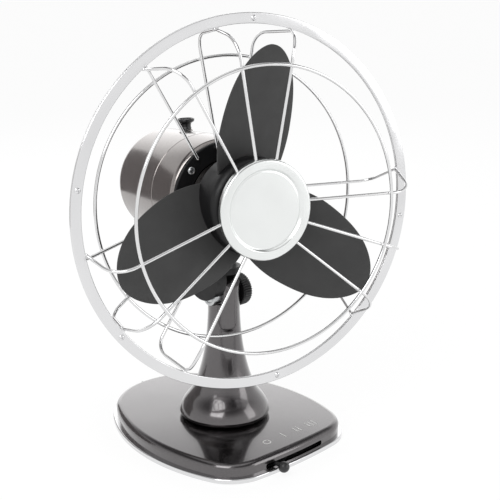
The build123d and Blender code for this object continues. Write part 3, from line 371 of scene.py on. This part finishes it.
# %% [markdown]
# The guard's rim is two flat rolled bands screwed together. A cut edge is never knife sharp, so each
# band's section is a flat with round edges and a face that is crowned by a fraction of a millimetre:
# that crown is what gives the chrome its soft gradient from side to side.

# %% Rim bands
EDGE_R = 0.8
CROWN = 0.1
BAND_GAP = 0.05
RIM_AROUND = 288
EDGE_STEPS, FACE_STEPS = 6, 7
FACE_MARGIN = 0.1


def band_section(inner, outer, front, back, edge, crown):
    """Closed section of a band: round corners of radius edge, with both faces bowed out by crown."""
    turn = np.linspace(0, pi / 2, EDGE_STEPS)
    corners = [(outer - edge, back - edge, 0), (inner + edge, back - edge, pi / 2),
               (inner + edge, front + edge, pi), (outer - edge, front + edge, 3 * pi / 2)]
    section = []
    for radius, along, start in corners:
        rounded = [radius + edge * np.cos(turn + start), along + edge * np.sin(turn + start)]
        section.append(np.stack(rounded, axis=1))
        if start in (0, pi):
            side = 1 if start == 0 else -1
            run = np.linspace(outer - edge, inner + edge, FACE_STEPS + 2)[1:-1][::side]
            across = np.linspace(FACE_MARGIN, 1 - FACE_MARGIN, FACE_STEPS)
            bow = crown * (1 - (2 * across - 1) ** 2)
            section.append(np.stack([run, (back if side > 0 else front) + side * bow], axis=1))
    return np.vstack(section)


rim_inner, rim_outer, rim_front_y, rim_joint_y = reach("rim_front")
rim_rear_y = reach("rim_rear")[3]
for name, front, back in (("front", rim_front_y + CROWN, rim_joint_y - BAND_GAP),
                          ("rear", rim_joint_y + BAND_GAP, rim_rear_y - CROWN)):
    section = band_section(rim_inner, rim_outer, front, back, EDGE_R, CROWN)
    piece(f"rim_band_{name}", [turned(section, RIM_AROUND, True)],
          from_head, finishes["chrome_trim"], "head", [f"rim_{name}"])

# %% [markdown]
# Eighteen spokes in trios run from the badge and from the motor plate out to the rim. Each is one wire
# bent at its knees. Modelled as tubes they would show facets, so the wires are worked out again along
# the same bends, with small beads of weld where they meet the rings and the rim.

# %% Spokes, rings and welds
WIRE_R = 1.5
RING_WIRE_R = 1.6
TRIO_ANGLES = [99.0, 215.0, 338.0]
RIM_SPREAD, KNEE_SPREAD, INNER_SPREAD = 27.0, 21.5, 26.0
FRONT_BOW = 10.0
FRONT_KNEE_INSET = 8.0
FRONT_BENDS = [22.0]
REAR_KNEE_INSET = 5.0
REAR_KNEE_DEPTH = 39.0
REAR_BENDS = [2.0, 16.0]
END_GAP = 0.8
BADGE_PROUD = 3.3
BADGE_GAP = 0.3
WELD_GAP = 0.05
REAR_INNER_R = 50.0
SIDES = (-1, 0, 1)
CROSSING_STEPS = 40
badge_r, badge_front, badge_back = reach("badge")[1:]
plate_front, plate_back = reach("guard_mount_plate")[2:]
spoke_end = rim_inner - WIRE_R - WELD_GAP
spoke_start_y = badge_front + BADGE_PROUD


def stop(radius, angle, along):
    """Place on a circle about the fan axis: across is r cos a, up is r sin a."""
    return radius * cos(radians(angle)), along, radius * sin(radians(angle))


def front_path(middle, side):
    """Spoke from the badge to the rim: side is -1, 0 or 1, and the outer two close up at the knee."""
    return bent([
        stop(badge_r + BADGE_GAP, middle + side * INNER_SPREAD, spoke_start_y),
        stop(spoke_end - FRONT_KNEE_INSET, middle + side * KNEE_SPREAD, spoke_start_y - FRONT_BOW),
        stop(spoke_end, middle + side * RIM_SPREAD, rim_joint_y - END_GAP),
    ], FRONT_BENDS)


def rear_path(middle, side):
    """Spoke from the motor plate to the rim, its inner end turned back into the plate."""
    return bent([
        stop(REAR_INNER_R, middle + side * INNER_SPREAD, plate_back - END_GAP),
        stop(REAR_INNER_R, middle + side * INNER_SPREAD, plate_front - REAR_BENDS[0] - WELD_GAP),
        stop(spoke_end - REAR_KNEE_INSET, middle + side * KNEE_SPREAD, rim_joint_y + REAR_KNEE_DEPTH),
        stop(spoke_end, middle + side * RIM_SPREAD, rim_joint_y + END_GAP),
    ], REAR_BENDS)


def crossing(path, radius):
    """Angle at which a spoke passes under a ring: its longest straight run, read off at that radius."""
    longest = np.argmax(np.linalg.norm(np.diff(path, axis=0), axis=1))
    run = np.linspace(path[longest], path[longest + 1], CROSSING_STEPS)
    angles = np.degrees(np.unwrap(np.arctan2(run[:, 2], run[:, 0])))
    return np.interp(radius, np.hypot(run[:, 0], run[:, 2]), angles)


RING_BEAD = (1.9, 1.2, 1.9)
RIM_BEAD = (1.3, 1.0, 2.6)
RIM_BEAD_REST = 1.0
beads = []
for name, bent_path, side_y in (("front", front_path, -1), ("rear", rear_path, 1)):
    low, high, near, far = reach(f"{name}_ring")
    ring_r, ring_y = (low + high) / 2, (near + far) / 2
    piece(f"{name}_ring_wire", [hoop(ring_r, ring_y, RING_WIRE_R)],
          from_head, finishes["chrome_wire"], "head", [f"{name}_ring"])
    for index, middle in enumerate(TRIO_ANGLES):
        paths = [bent_path(middle, side) for side in SIDES]
        piece(f"{name}_wires_{index + 1}", [wire(path, WIRE_R) for path in paths],
              from_head, finishes["chrome_wire"], "head", [f"{name}_spokes_{index + 1}"])
        beads += [bead(ring_r, ring_y - side_y * RING_WIRE_R, crossing(path, ring_r), RING_BEAD)
                  for path in paths]
        beads += [bead(spoke_end + WIRE_R / 2, rim_joint_y + side_y * RIM_BEAD_REST,
                       middle + side * RIM_SPREAD, RIM_BEAD) for side in SIDES]
piece("weld_beads", beads, from_head, finishes["chrome_wire"], "head")

# %% [markdown]
# The badge is a spun cap: a crowned outer ring, a rounded step down and a plain, faintly domed middle.
# Its section is a bent line, so each corner has the radius that spinning over a former leaves.

# %% Badge and hub
BADGE_WALL = 1.2
STEP_OUT, STEP_IN, FLOOR_OUT = 0.815, 0.775, 0.74
STEP_DEEP, FLOOR_DEEP, FLOOR_DOME = 2.5, 2.0, 0.5
BADGE_BENDS = [2.6, 1.5, 0.9, 1.5]
outside = bent([
    (badge_r, badge_back), (badge_r, badge_front), (badge_r * STEP_OUT, badge_front),
    (badge_r * STEP_IN, badge_front + STEP_DEEP), (badge_r * FLOOR_OUT, badge_front + FLOOR_DEEP),
    (0, badge_front + FLOOR_DEEP - FLOOR_DOME),
], BADGE_BENDS)
inside = np.array([
    (0, badge_front + FLOOR_DEEP + BADGE_WALL), (badge_r * FLOOR_OUT, badge_front + STEP_DEEP + BADGE_WALL),
    (badge_r * STEP_OUT, badge_front + 2 * BADGE_WALL), (badge_r - 2 * BADGE_WALL, badge_front + BADGE_WALL),
    (badge_r - BADGE_WALL, badge_front + STEP_DEEP), (badge_r - BADGE_WALL, badge_back),
])
piece("badge_cap", [turned(np.vstack([outside, inside]), 2 * AROUND, True)],
      from_head, finishes["brushed_badge"], "head", ["badge"])

HUB_WALL = 3.0
HUB_ROUND = 8.0
HUB_SLEEVE_R = 12.0
HUB_LIP, HUB_FILLET = 1.0, 1.5
bore_r, hub_r, hub_front, hub_back = reach("blade_hub")
hub_line = bent([
    (bore_r, hub_front), (hub_r, hub_front), (hub_r, hub_back), (hub_r - HUB_WALL, hub_back),
    (hub_r - HUB_WALL, hub_front + HUB_WALL), (HUB_SLEEVE_R, hub_front + HUB_WALL),
    (HUB_SLEEVE_R, hub_back - HUB_WALL), (bore_r, hub_back - HUB_WALL),
], [HUB_ROUND, HUB_LIP, HUB_LIP, HUB_ROUND - HUB_WALL, HUB_FILLET, HUB_LIP])
piece("hub_cup", [turned(hub_line, AROUND, True)],
      from_head, finishes["black_enamel"], "rotor", ["blade_hub"])

# %% [markdown]
# A blade is a leaf pressed from sheet. Its outline is a smooth curve from the hub to the tip. Across the
# leaf the section is a strip with half-round edges, bowed a little by the press. It is then pitched,
# leant forwards and turned to its place, exactly as the solid is.

# %% Blades
LEAF = [(26.0, 37.0), (72.0, 45.0), (126.5, 32.0), (150.5, 0.0)]
LEAF_START, LEAF_END = (1.0, 0.4), (0.0, -1.0)
BLADE_HALF_T = 1.0
BLADE_BOW = 2.2
BLADE_SETBACK = 7.0
BLADE_PITCH, BLADE_CONE, BLADE_ANGLE = radians(17), radians(11), 81.0
ROOT_SINK = 0.8
BLADES = 3
LEAF_ACROSS, LEAF_EDGE = 21, 9


def smooth_line(points, first, last, steps=24):
    """Cubic curve through points: each span blends its two ends and their slopes by the cubic rule."""
    points = np.array(points)
    slopes = [unit(np.array(first))] + [unit(b - a) for a, b in zip(points[:-2], points[2:])]
    slopes.append(unit(np.array(last)))
    share = (0.5 - 0.5 * np.cos(np.linspace(0, pi, steps)))[:, None]
    spans = []
    for a, b, leave, arrive in zip(points[:-1], points[1:], slopes[:-1], slopes[1:]):
        length = np.linalg.norm(b - a)
        from_start = (2 * share ** 3 - 3 * share ** 2 + 1) * a
        from_end = (3 * share ** 2 - 2 * share ** 3) * b
        leaving = (share ** 3 - 2 * share ** 2 + share) * length * leave
        arriving = (share ** 3 - share ** 2) * length * arrive
        spans.append(from_start + leaving + from_end + arriving)
    return np.vstack([spans[0]] + [span[1:] for span in spans[1:]])


def blade(angle):
    """Leaf: strips of the outline's width with round edges, bowed, clipped by the hub and turned."""
    outline = smooth_line(LEAF, LEAF_START, LEAF_END)
    outline[-1, 1] = 0
    flat = np.linspace(-1, 1, LEAF_ACROSS)
    edge = np.linspace(pi / 2, -pi / 2, LEAF_EDGE)
    shift = np.concatenate([flat, np.ones(LEAF_EDGE), flat[::-1], -np.ones(LEAF_EDGE)])
    out = np.concatenate([0 * flat, np.cos(edge), 0 * flat, -np.cos(edge[::-1])])
    lift = np.concatenate([1 + 0 * flat, np.sin(edge), -1 + 0 * flat, np.sin(edge[::-1])])
    half = outline[:, 1:]
    round_r = np.minimum(BLADE_HALF_T, half)
    across = shift * (half - round_r) + round_r * out
    thick = round_r * lift
    thick[0] = 0
    floor = np.sqrt(np.maximum((hub_r - ROOT_SINK) ** 2 - (across * cos(BLADE_PITCH)) ** 2, 0))
    x = np.maximum(outline[:, :1] + 0 * across, floor)
    y = -thick + BLADE_BOW * ((across / LEAF[1][1]) ** 2 - 0.5)
    z = y * sin(BLADE_PITCH) + across * cos(BLADE_PITCH)
    y = y * cos(BLADE_PITCH) - across * sin(BLADE_PITCH)
    x, y = x * cos(BLADE_CONE) + y * sin(BLADE_CONE), y * cos(BLADE_CONE) - x * sin(BLADE_CONE)
    a = radians(angle)
    side, up = x * cos(a) - z * sin(a), x * sin(a) + z * cos(a)
    return surface(np.stack([side, y + hub_back - BLADE_SETBACK, up], axis=-1))


for index in range(BLADES):
    piece(f"leaf_blade_{index + 1}", [blade(BLADE_ANGLE + 360 / BLADES * index)],
          from_head, finishes["blade_paint"], "rotor", [f"blade_{index + 1}"])

# %% [markdown]
# The motor is a two-part drum. The halves meet in a fine groove, which on the real case is where the
# edges are broken before painting. The front half carries the bearing nose and the socket that turns on
# the post, and the rear half a small boss around the clutch stem.

# %% Motor drum
GROOVE = 0.7
GROOVE_LAP = 0.02
SHOULDER_R = 6.0
CASE_WALL = 2.0
NOSE_R, NOSE_TIP_R, BEARING_R, BEARING_L = 38.0, 35.0, 8.0, 9.0
CASE_FRONT_R, CASE_REAR_R, CASE_REAR_ROUND = 57.0, 54.5, 20.0
NOSE_EDGE, NOSE_FILLET, GROOVE_EDGE = 3.0, 1.2, 0.3
REAR_STEPS = 24
seam_r, seam, case_rear = reach("motor_rear_housing")[1:]
nose_tip = reach("motor_front_housing")[2]
case_front = plate_back
front_half = np.vstack([bent([
    (BEARING_R, nose_tip), (NOSE_TIP_R, nose_tip), (NOSE_R, case_front), (CASE_FRONT_R, case_front),
    (seam_r, seam - GROOVE), (seam_r - GROOVE, seam - GROOVE_LAP),
], [NOSE_EDGE, NOSE_FILLET, SHOULDER_R, GROOVE_EDGE]), [
    (seam_r - CASE_WALL, seam - GROOVE_LAP), (CASE_FRONT_R - CASE_WALL, case_front + SHOULDER_R),
    (CASE_FRONT_R - SHOULDER_R, case_front + CASE_WALL), (NOSE_R - CASE_WALL, case_front + CASE_WALL),
    (NOSE_TIP_R - CASE_WALL, nose_tip + BEARING_L), (BEARING_R, nose_tip + BEARING_L),
]])
rear_half = np.vstack([bent([
    (seam_r - GROOVE, seam + GROOVE_LAP), (seam_r, seam + GROOVE),
    (CASE_REAR_R, case_rear), (0, case_rear),
], [GROOVE_EDGE, CASE_REAR_ROUND], REAR_STEPS), [
    (0, case_rear - CASE_WALL), (CASE_REAR_R - CASE_REAR_ROUND, case_rear - CASE_WALL),
    (CASE_REAR_R - CASE_WALL, case_rear - CASE_REAR_ROUND), (seam_r - CASE_WALL, seam + GROOVE_LAP),
]])
SOCKET_R, SOCKET_BORE_R, SOCKET_H, SOCKET_EDGE = 13.0, 7.05, 22.0, 1.2
socket_low = in_head("motor_front_housing")[:, 2].min()
socket = bent([
    (SOCKET_BORE_R, socket_low), (SOCKET_R, socket_low), (SOCKET_R, socket_low + SOCKET_H),
    (SOCKET_BORE_R, socket_low + SOCKET_H),
], [SOCKET_EDGE, SOCKET_EDGE])
piece("drum_front", [turned(front_half, 2 * AROUND, True), turned(socket, AROUND, True, "z")],
      from_head, finishes["silver_paint"], "head", ["motor_front_housing"])

wheel = (np.array(joints["wheel_spin"]["pos_m"]) - head_origin) @ head_axes.T / MM
stem = (wheel[0], wheel[1])
clutch_heights = in_head("clutch_knob")[:, 2]
clutch_low, clutch_top = clutch_heights.min(), clutch_heights.max()
STEM_R = 3.05
BOSS_FOOT_R, BOSS_TOP_R, BOSS_DROP, BOSS_GAP = 9.4, 6.3, 8.0, 0.3
BOSS_BENDS = [0.8, 0.3]
boss = bent([
    (STEM_R, clutch_low - BOSS_GAP), (BOSS_TOP_R, clutch_low - BOSS_GAP),
    (BOSS_FOOT_R, clutch_low - BOSS_DROP), (STEM_R, clutch_low - BOSS_DROP),
], BOSS_BENDS)
piece("drum_rear", [turned(rear_half, 2 * AROUND, True), turned(boss, AROUND, True, "z", stem)],
      from_head, finishes["silver_paint"], "head", ["motor_rear_housing"])

# %% [markdown]
# Three black knobs are the things that hands touch: the mushroom on the clutch, the ribbed wheel that
# clamps the tilt, and the ball on the speed lever, which stays as it is. Ribs come from one cosine wave
# round the rim, faded out towards the flat faces.

# %% Knobs
CAP_R, CAP_UNDER_R = 9.5, 8.9
CAP_DISH_R, CAP_LIP_R = 6.2, 7.6
CAP_DISH, CAP_EDGE, CAP_UNDER = 1.2, 0.9, 3.4
THROAT_TOP_R, THROAT_R, THROAT_FOOT_R = 5.8, 5.3, 6.0
THROAT_DROP, THROAT_RISE = 5.2, 2.4
STEM_SEAT_R, STEM_SEAT_DROP = STEM_R - 0.03, 3.6
CAP_BENDS = [0.8, 0.8, 0.9, 0.8, 2.0, 1.5, 0.4, 0.2, 0.2]
knob_line = bent([
    (0, clutch_top - CAP_DISH), (CAP_DISH_R, clutch_top - CAP_DISH), (CAP_LIP_R, clutch_top),
    (CAP_R, clutch_top - CAP_EDGE), (CAP_UNDER_R, clutch_top - CAP_UNDER),
    (THROAT_TOP_R, clutch_top - THROAT_DROP), (THROAT_R, clutch_low + THROAT_RISE),
    (THROAT_FOOT_R, clutch_low), (STEM_SEAT_R, clutch_low),
    (STEM_SEAT_R, clutch_top - STEM_SEAT_DROP), (0, clutch_top - STEM_SEAT_DROP),
], CAP_BENDS)
piece("clutch_mushroom", [turned(knob_line, AROUND, axis="z", centre=stem)],
      from_head, finishes["black_plastic"], "clutch", ["clutch_knob"])

RIBS, RIB_STEPS = 40, 10
RIB_DEPTH = 1.1
RIB_FADE = 3.0
KNOB_BORE_R, KNOB_BORE_L = 6.52, 7.1
DISH_OUT_R, DISH_IN_R, DISH_DEEP = 11.6, 10.4, 1.4
KNOB_BENDS = [0.2, 0.3, 1.6, 2.2, 0.8, 0.8]
low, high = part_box("tilt_knob")
knob_r = (high.z - low.z) / 2 / MM
knob_in, knob_out = low.x / MM, high.x / MM
profile = bent([
    (0, knob_in + KNOB_BORE_L), (KNOB_BORE_R, knob_in + KNOB_BORE_L), (KNOB_BORE_R, knob_in),
    (knob_r, knob_in), (knob_r, knob_out), (DISH_OUT_R, knob_out), (DISH_IN_R, knob_out - DISH_DEEP),
    (0, knob_out - DISH_DEEP),
], KNOB_BENDS)
turn = np.arange(RIBS * RIB_STEPS) * 2 * pi / (RIBS * RIB_STEPS)
fade = np.clip((profile[:, :1] - (knob_r - RIB_FADE)) / RIB_FADE, 0, 1)
radius = profile[:, :1] - RIB_DEPTH * fade * (0.5 - 0.5 * np.cos(RIBS * turn))
grid = np.stack([profile[:, 1:] + 0 * turn, radius * np.cos(turn), radius * np.sin(turn)], axis=-1)
piece("tilt_wheel", [surface(grid)], lambda points: pivot + points * MM,
      finishes["black_plastic"], "clamp_knob", ["tilt_knob"])

# %% [markdown]
# Screws are small but they catch the eye. Each head is a square grid drawn out to a disc, lifted into a
# low dome, with a cross sunk into it. The border is folded down and drawn in, so the head is closed.

# %% Screws
RIM_SCREW_ANGLES = [86.0, 168.0, 216.5, 276.5, 349.0]
GUARD_SCREW_ANGLE = 40.0
GUARD_SCREW_CIRCLE = 47.0
RIM_HEAD_R, RIM_HEAD_H, RIM_SHANK_R = 2.6, 1.2, 1.5
GUARD_HEAD_R, GUARD_HEAD_H, GUARD_SHANK_R, GUARD_SHANK_L = 3.75, 2.0, 1.8, 6.0
HEAD_STEPS, SHANK_SIDES = 45, 24
DOME_FALL, RECESS_DEEP = 0.75, 0.7
ARM_HALF, ARM_SLOPE, ARM_REACH, ARM_END = 0.17, 0.06, 0.6, 0.12
rim_circle = (rim_inner + rim_outer) / 2


def screw(circle, angle, seat, head_r, head_h, shank_r, shank_l):
    """Domed head with a cross recess, facing the front, and its shank behind the seat."""
    across = np.linspace(-1, 1, HEAD_STEPS)
    u, v = np.meshgrid(across, across, indexing="ij")
    x, y = u * np.sqrt(1 - v ** 2 / 2), v * np.sqrt(1 - u ** 2 / 2)
    dome = head_h * (1 - DOME_FALL * (x ** 2 + y ** 2) ** 2)
    arms = [np.clip((ARM_HALF - abs(p)) / ARM_SLOPE, 0, 1) * np.clip((ARM_REACH - abs(q)) / ARM_END, 0, 1)
            for p, q in ((x, y), (y, x))]
    height = np.pad(dome - RECESS_DEEP * head_h * np.maximum(*arms), 2, constant_values=0)
    x, y = (np.pad(np.pad(side, 1, mode="edge"), 1, constant_values=0) for side in (x, y))
    centre = (circle * cos(radians(angle)), circle * sin(radians(angle)))
    head = np.stack([centre[0] + head_r * x, seat - height, centre[1] + head_r * y], axis=-1)
    shank = np.array([(0, seat), (shank_r, seat), (shank_r, seat + shank_l), (0, seat + shank_l)])
    return [surface(head, close_columns=False), turned(shank, SHANK_SIDES, centre=centre)]


rim_shank_l = reach("rim_screws")[3] - rim_front_y
rim_heads = [screw(rim_circle, angle, rim_front_y, RIM_HEAD_R, RIM_HEAD_H, RIM_SHANK_R, rim_shank_l)
             for angle in RIM_SCREW_ANGLES]
piece("rim_cross_screws", sum(rim_heads, []),
      from_head, finishes["chrome_trim"], "head", ["rim_screws"])
guard_heads = [screw(GUARD_SCREW_CIRCLE, middle + GUARD_SCREW_ANGLE, plate_front,
                     GUARD_HEAD_R, GUARD_HEAD_H, GUARD_SHANK_R, GUARD_SHANK_L) for middle in TRIO_ANGLES]
piece("guard_cross_screws", sum(guard_heads, []),
      from_head, finishes["plated_steel"], "head", ["guard_screws"])

# %% [markdown]
# The speed scale is printed on the base above the slot: a ring for off, then one, two and three bars.
# Each mark is a film that follows the crowned top, a tenth of a millimetre proud.

# %% Speed marks
INK_T = 0.1
MARK_Y, MARK_L, BAR_W, BAR_STEP = -79.0, 9.0, 1.1, 4.6
OFF_X, OFF_R = -18.0, 3.6
SPEED_X = [4.5, 24.0, 44.0]
SEAT_R, CROWN_R = 50.0, 2000.0
BAR_STOPS, RING_SIDES = 9, 48
seat_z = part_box("neck_column")[0].z / MM


def on_crown(points):
    """World place of film points: height over the base top, which falls away with distance squared."""
    drop = (SEAT_R ** 2 - points[:, 0] ** 2 - points[:, 1] ** 2) / (2 * CROWN_R)
    return from_floor(points + np.stack([0 * drop, 0 * drop, seat_z + drop], axis=1))


def ink_bar(x):
    """Straight bar: a flat four-cornered section carried along Y, its ends drawn to a point."""
    along = np.linspace(MARK_Y - MARK_L / 2, MARK_Y + MARK_L / 2, BAR_STOPS)
    y = np.pad(along, 1, mode="edge")[:, None]
    size = np.array([0] + [1] * BAR_STOPS + [0])[:, None]
    across = x + BAR_W / 2 * size * np.array([-1, 1, 1, -1])
    height = INK_T / 2 * (1 + size * np.array([-1, -1, 1, 1]))
    return surface(np.stack([across, y + 0 * across, height], axis=-1))


ring_in, ring_out = OFF_R - BAR_W / 2, OFF_R + BAR_W / 2
ring_line = np.array([(ring_in, 0), (ring_out, 0), (ring_out, INK_T), (ring_in, INK_T)])
marks = [turned(ring_line, RING_SIDES, True, "z", (OFF_X, MARK_Y))]
for count, x in enumerate(SPEED_X, start=1):
    marks += [ink_bar(x + BAR_STEP * (i - (count - 1) / 2)) for i in range(count)]
piece("speed_marks", marks, on_crown, print_ink, "stand")

# %% [markdown]
# The fan stands on a wide pale floor in a plain studio. The room is white at floor level and overhead,
# with a grey band between: white low down makes the flat rim an even pale grey, and the band draws the
# darker lines that make round chrome and lacquer look bright. A grey card stands behind, out of the
# picture, and only shows as the soft dark side of the lacquered drum. The wall behind on the right is a
# softly lit window, which the top of the base mirrors.

# %% Floor and room
FLOOR_SIZE = 40.0
FLOOR_WHITENESS = 0.85
FLOOR_GLOW = 0.2
MATT_ROUGHNESS, MATT_SHEEN = 0.9, 0.1
CARD_LEFT, CARD_RIGHT, CARD_BACK, CARD_TOP = -0.85, 0.15, 0.95, 0.52


def staged(name, corners, colour):
    """Flat four-cornered stage piece with a matt colour, and the node tree of that colour."""
    mesh = bpy.data.meshes.new(name)
    mesh.from_pydata(corners, [], [(0, 1, 2, 3)])
    thing = bpy.data.objects.new(name, mesh)
    bpy.context.scene.collection.objects.link(thing)
    material = bpy.data.materials.new(f"matt {name}")
    material.use_nodes = True
    shader = material.node_tree.nodes["Principled BSDF"]
    shader.inputs["Base Color"].default_value = linear(colour)
    shader.inputs["Roughness"].default_value = MATT_ROUGHNESS
    shader.inputs["Specular IOR Level"].default_value = MATT_SHEEN
    mesh.materials.append(material)
    return thing, material.node_tree


half = FLOOR_SIZE / 2
_, tree = staged("floor", [(-half, -half, 0), (half, -half, 0), (half, half, 0), (-half, half, 0)], "#f4f4f4")
shader = tree.nodes["Principled BSDF"]
shader.inputs["Emission Color"].default_value = linear("#ffffff")
shader.inputs["Emission Strength"].default_value = FLOOR_GLOW
path = add(tree, "ShaderNodeLightPath").outputs
seen = add(tree, "ShaderNodeMath", {"operation": "ADD"},
           links={0: path["Is Camera Ray"], 1: path["Is Glossy Ray"]})
seen = add(tree, "ShaderNodeMath", {"operation": "ADD", "use_clamp": True},
           links={0: seen.outputs[0], 1: path["Is Transmission Ray"]})
lift = add(tree, "ShaderNodeMath", {"operation": "MULTIPLY"}, {1: FLOOR_WHITENESS}, {0: seen.outputs[0]})
white = add(tree, "ShaderNodeEmission", values={"Color": linear("#ffffff"), "Strength": 1.0})
mix = add(tree, "ShaderNodeMixShader", links={0: lift.outputs[0], 1: shader.outputs[0], 2: white.outputs[0]})
tree.links.new(mix.outputs[0], tree.nodes["Material Output"].inputs["Surface"])

card, _ = staged("card", [
    (CARD_LEFT, CARD_BACK, 0), (CARD_RIGHT, CARD_BACK, 0),
    (CARD_RIGHT, CARD_BACK, CARD_TOP), (CARD_LEFT, CARD_BACK, CARD_TOP),
], "#8c8888")
card.visible_camera = False
card.visible_diffuse = False
card.visible_shadow = False

HORIZON, SKIRT, GLOOM, CANOPY, ZENITH = "#ffffff", "#f4f4f4", "#666566", "#727172", "#ffffff"
ROOM = [(0.5, HORIZON), (0.71, SKIRT), (0.85, GLOOM), (0.91, CANOPY), (0.96, ZENITH)]
WINDOW = Vector((0.66, 0.67, 0.34)).normalized()
WINDOW_GAIN = 1.8
WINDOW_EDGE, WINDOW_CORE = 0.77, 0.98
world = bpy.data.worlds.new("studio")
bpy.context.scene.world = world
world.use_nodes = True
tree = world.node_tree
studio = tree.nodes["Background"]
direction = add(tree, "ShaderNodeTexCoord").outputs["Generated"]
height = add(tree, "ShaderNodeSeparateXYZ", links={"Vector": direction}).outputs["Z"]
share = add(tree, "ShaderNodeMapRange", values={"From Min": -1.0, "From Max": 1.0}, links={"Value": height})
ramp = tree.nodes.new("ShaderNodeValToRGB")
for _ in ROOM[2:]:
    ramp.color_ramp.elements.new(1.0)
for element, (place, colour) in zip(ramp.color_ramp.elements, ROOM):
    element.position = place
    element.color = linear(colour)
tree.links.new(share.outputs["Result"], ramp.inputs["Fac"])
tree.links.new(ramp.outputs["Color"], studio.inputs["Color"])
facing = add(tree, "ShaderNodeVectorMath", {"operation": "DOT_PRODUCT"}, {1: WINDOW}, {0: direction})
glow = add(tree, "ShaderNodeMapRange", {"interpolation_type": "SMOOTHSTEP"},
           {"From Min": WINDOW_EDGE, "From Max": WINDOW_CORE, "To Min": 1.0, "To Max": WINDOW_GAIN},
           {"Value": facing.outputs["Value"]})
tree.links.new(glow.outputs["Result"], studio.inputs["Strength"])

# %% [markdown]
# Three large soft lamps: a key high on the left, a fill low on the right and a strip behind that lights
# the fan from behind but is kept out of its reflections.

# %% Lamps
AIM = Vector((0, 0, 0.2))


def lamp(name, place, size, watts):
    """Rectangular lamp of a size in metres, turned to face the fan."""
    light = bpy.data.lights.new(name, "AREA")
    light.shape = "RECTANGLE"
    light.size, light.size_y = size
    light.energy = watts
    thing = bpy.data.objects.new(name, light)
    bpy.context.scene.collection.objects.link(thing)
    turn = (AIM - Vector(place)).to_track_quat("-Z", "Y")
    thing.matrix_world = Matrix.Translation(place) @ turn.to_matrix().to_4x4()
    return thing


lamp("key", (-1.1, -0.5, 1.25), (0.9, 0.9), 10)
lamp("fill", (0.8, -1.4, 0.7), (0.7, 1.0), 4)
lamp("back", (0.7, 1.2, 1.1), (1.2, 0.6), 5).visible_glossy = False

# %% [markdown]
# The camera stands where the photograph was taken from: to the left of the base's front, a little above
# it. The distance and lens were worked out from the ellipses of the rim, hub and base.

# %% Camera
AZIMUTH, ELEVATION = radians(-44.4), radians(16.1)
DISTANCE = 1.1278
SHIFT_RIGHT, SHIFT_UP, AIM_HEIGHT = 0.0260, -0.0065, 0.200
FOCAL_PIXELS, FRAME_PIXELS, SENSOR = 1150, 500, 36.0
right = Vector((cos(AZIMUTH), sin(AZIMUTH), 0))
back = Vector((sin(AZIMUTH) * cos(ELEVATION), -cos(AZIMUTH) * cos(ELEVATION), sin(ELEVATION)))
up = back.cross(right)
lens = bpy.data.cameras.new("camera")
lens.sensor_width = SENSOR
lens.lens = FOCAL_PIXELS * SENSOR / FRAME_PIXELS
camera = bpy.data.objects.new("camera", lens)
bpy.context.scene.collection.objects.link(camera)
target = Vector((0, 0, AIM_HEIGHT)) + right * SHIFT_RIGHT + up * SHIFT_UP
turn = Matrix((right, up, back)).transposed().to_4x4()
camera.matrix_world = Matrix.Translation(target + back * DISTANCE) @ turn
bpy.context.scene.camera = camera
bpy.context.scene.view_settings.view_transform = "Standard"
print("camera at", [round(value, 4) for value in camera.location])
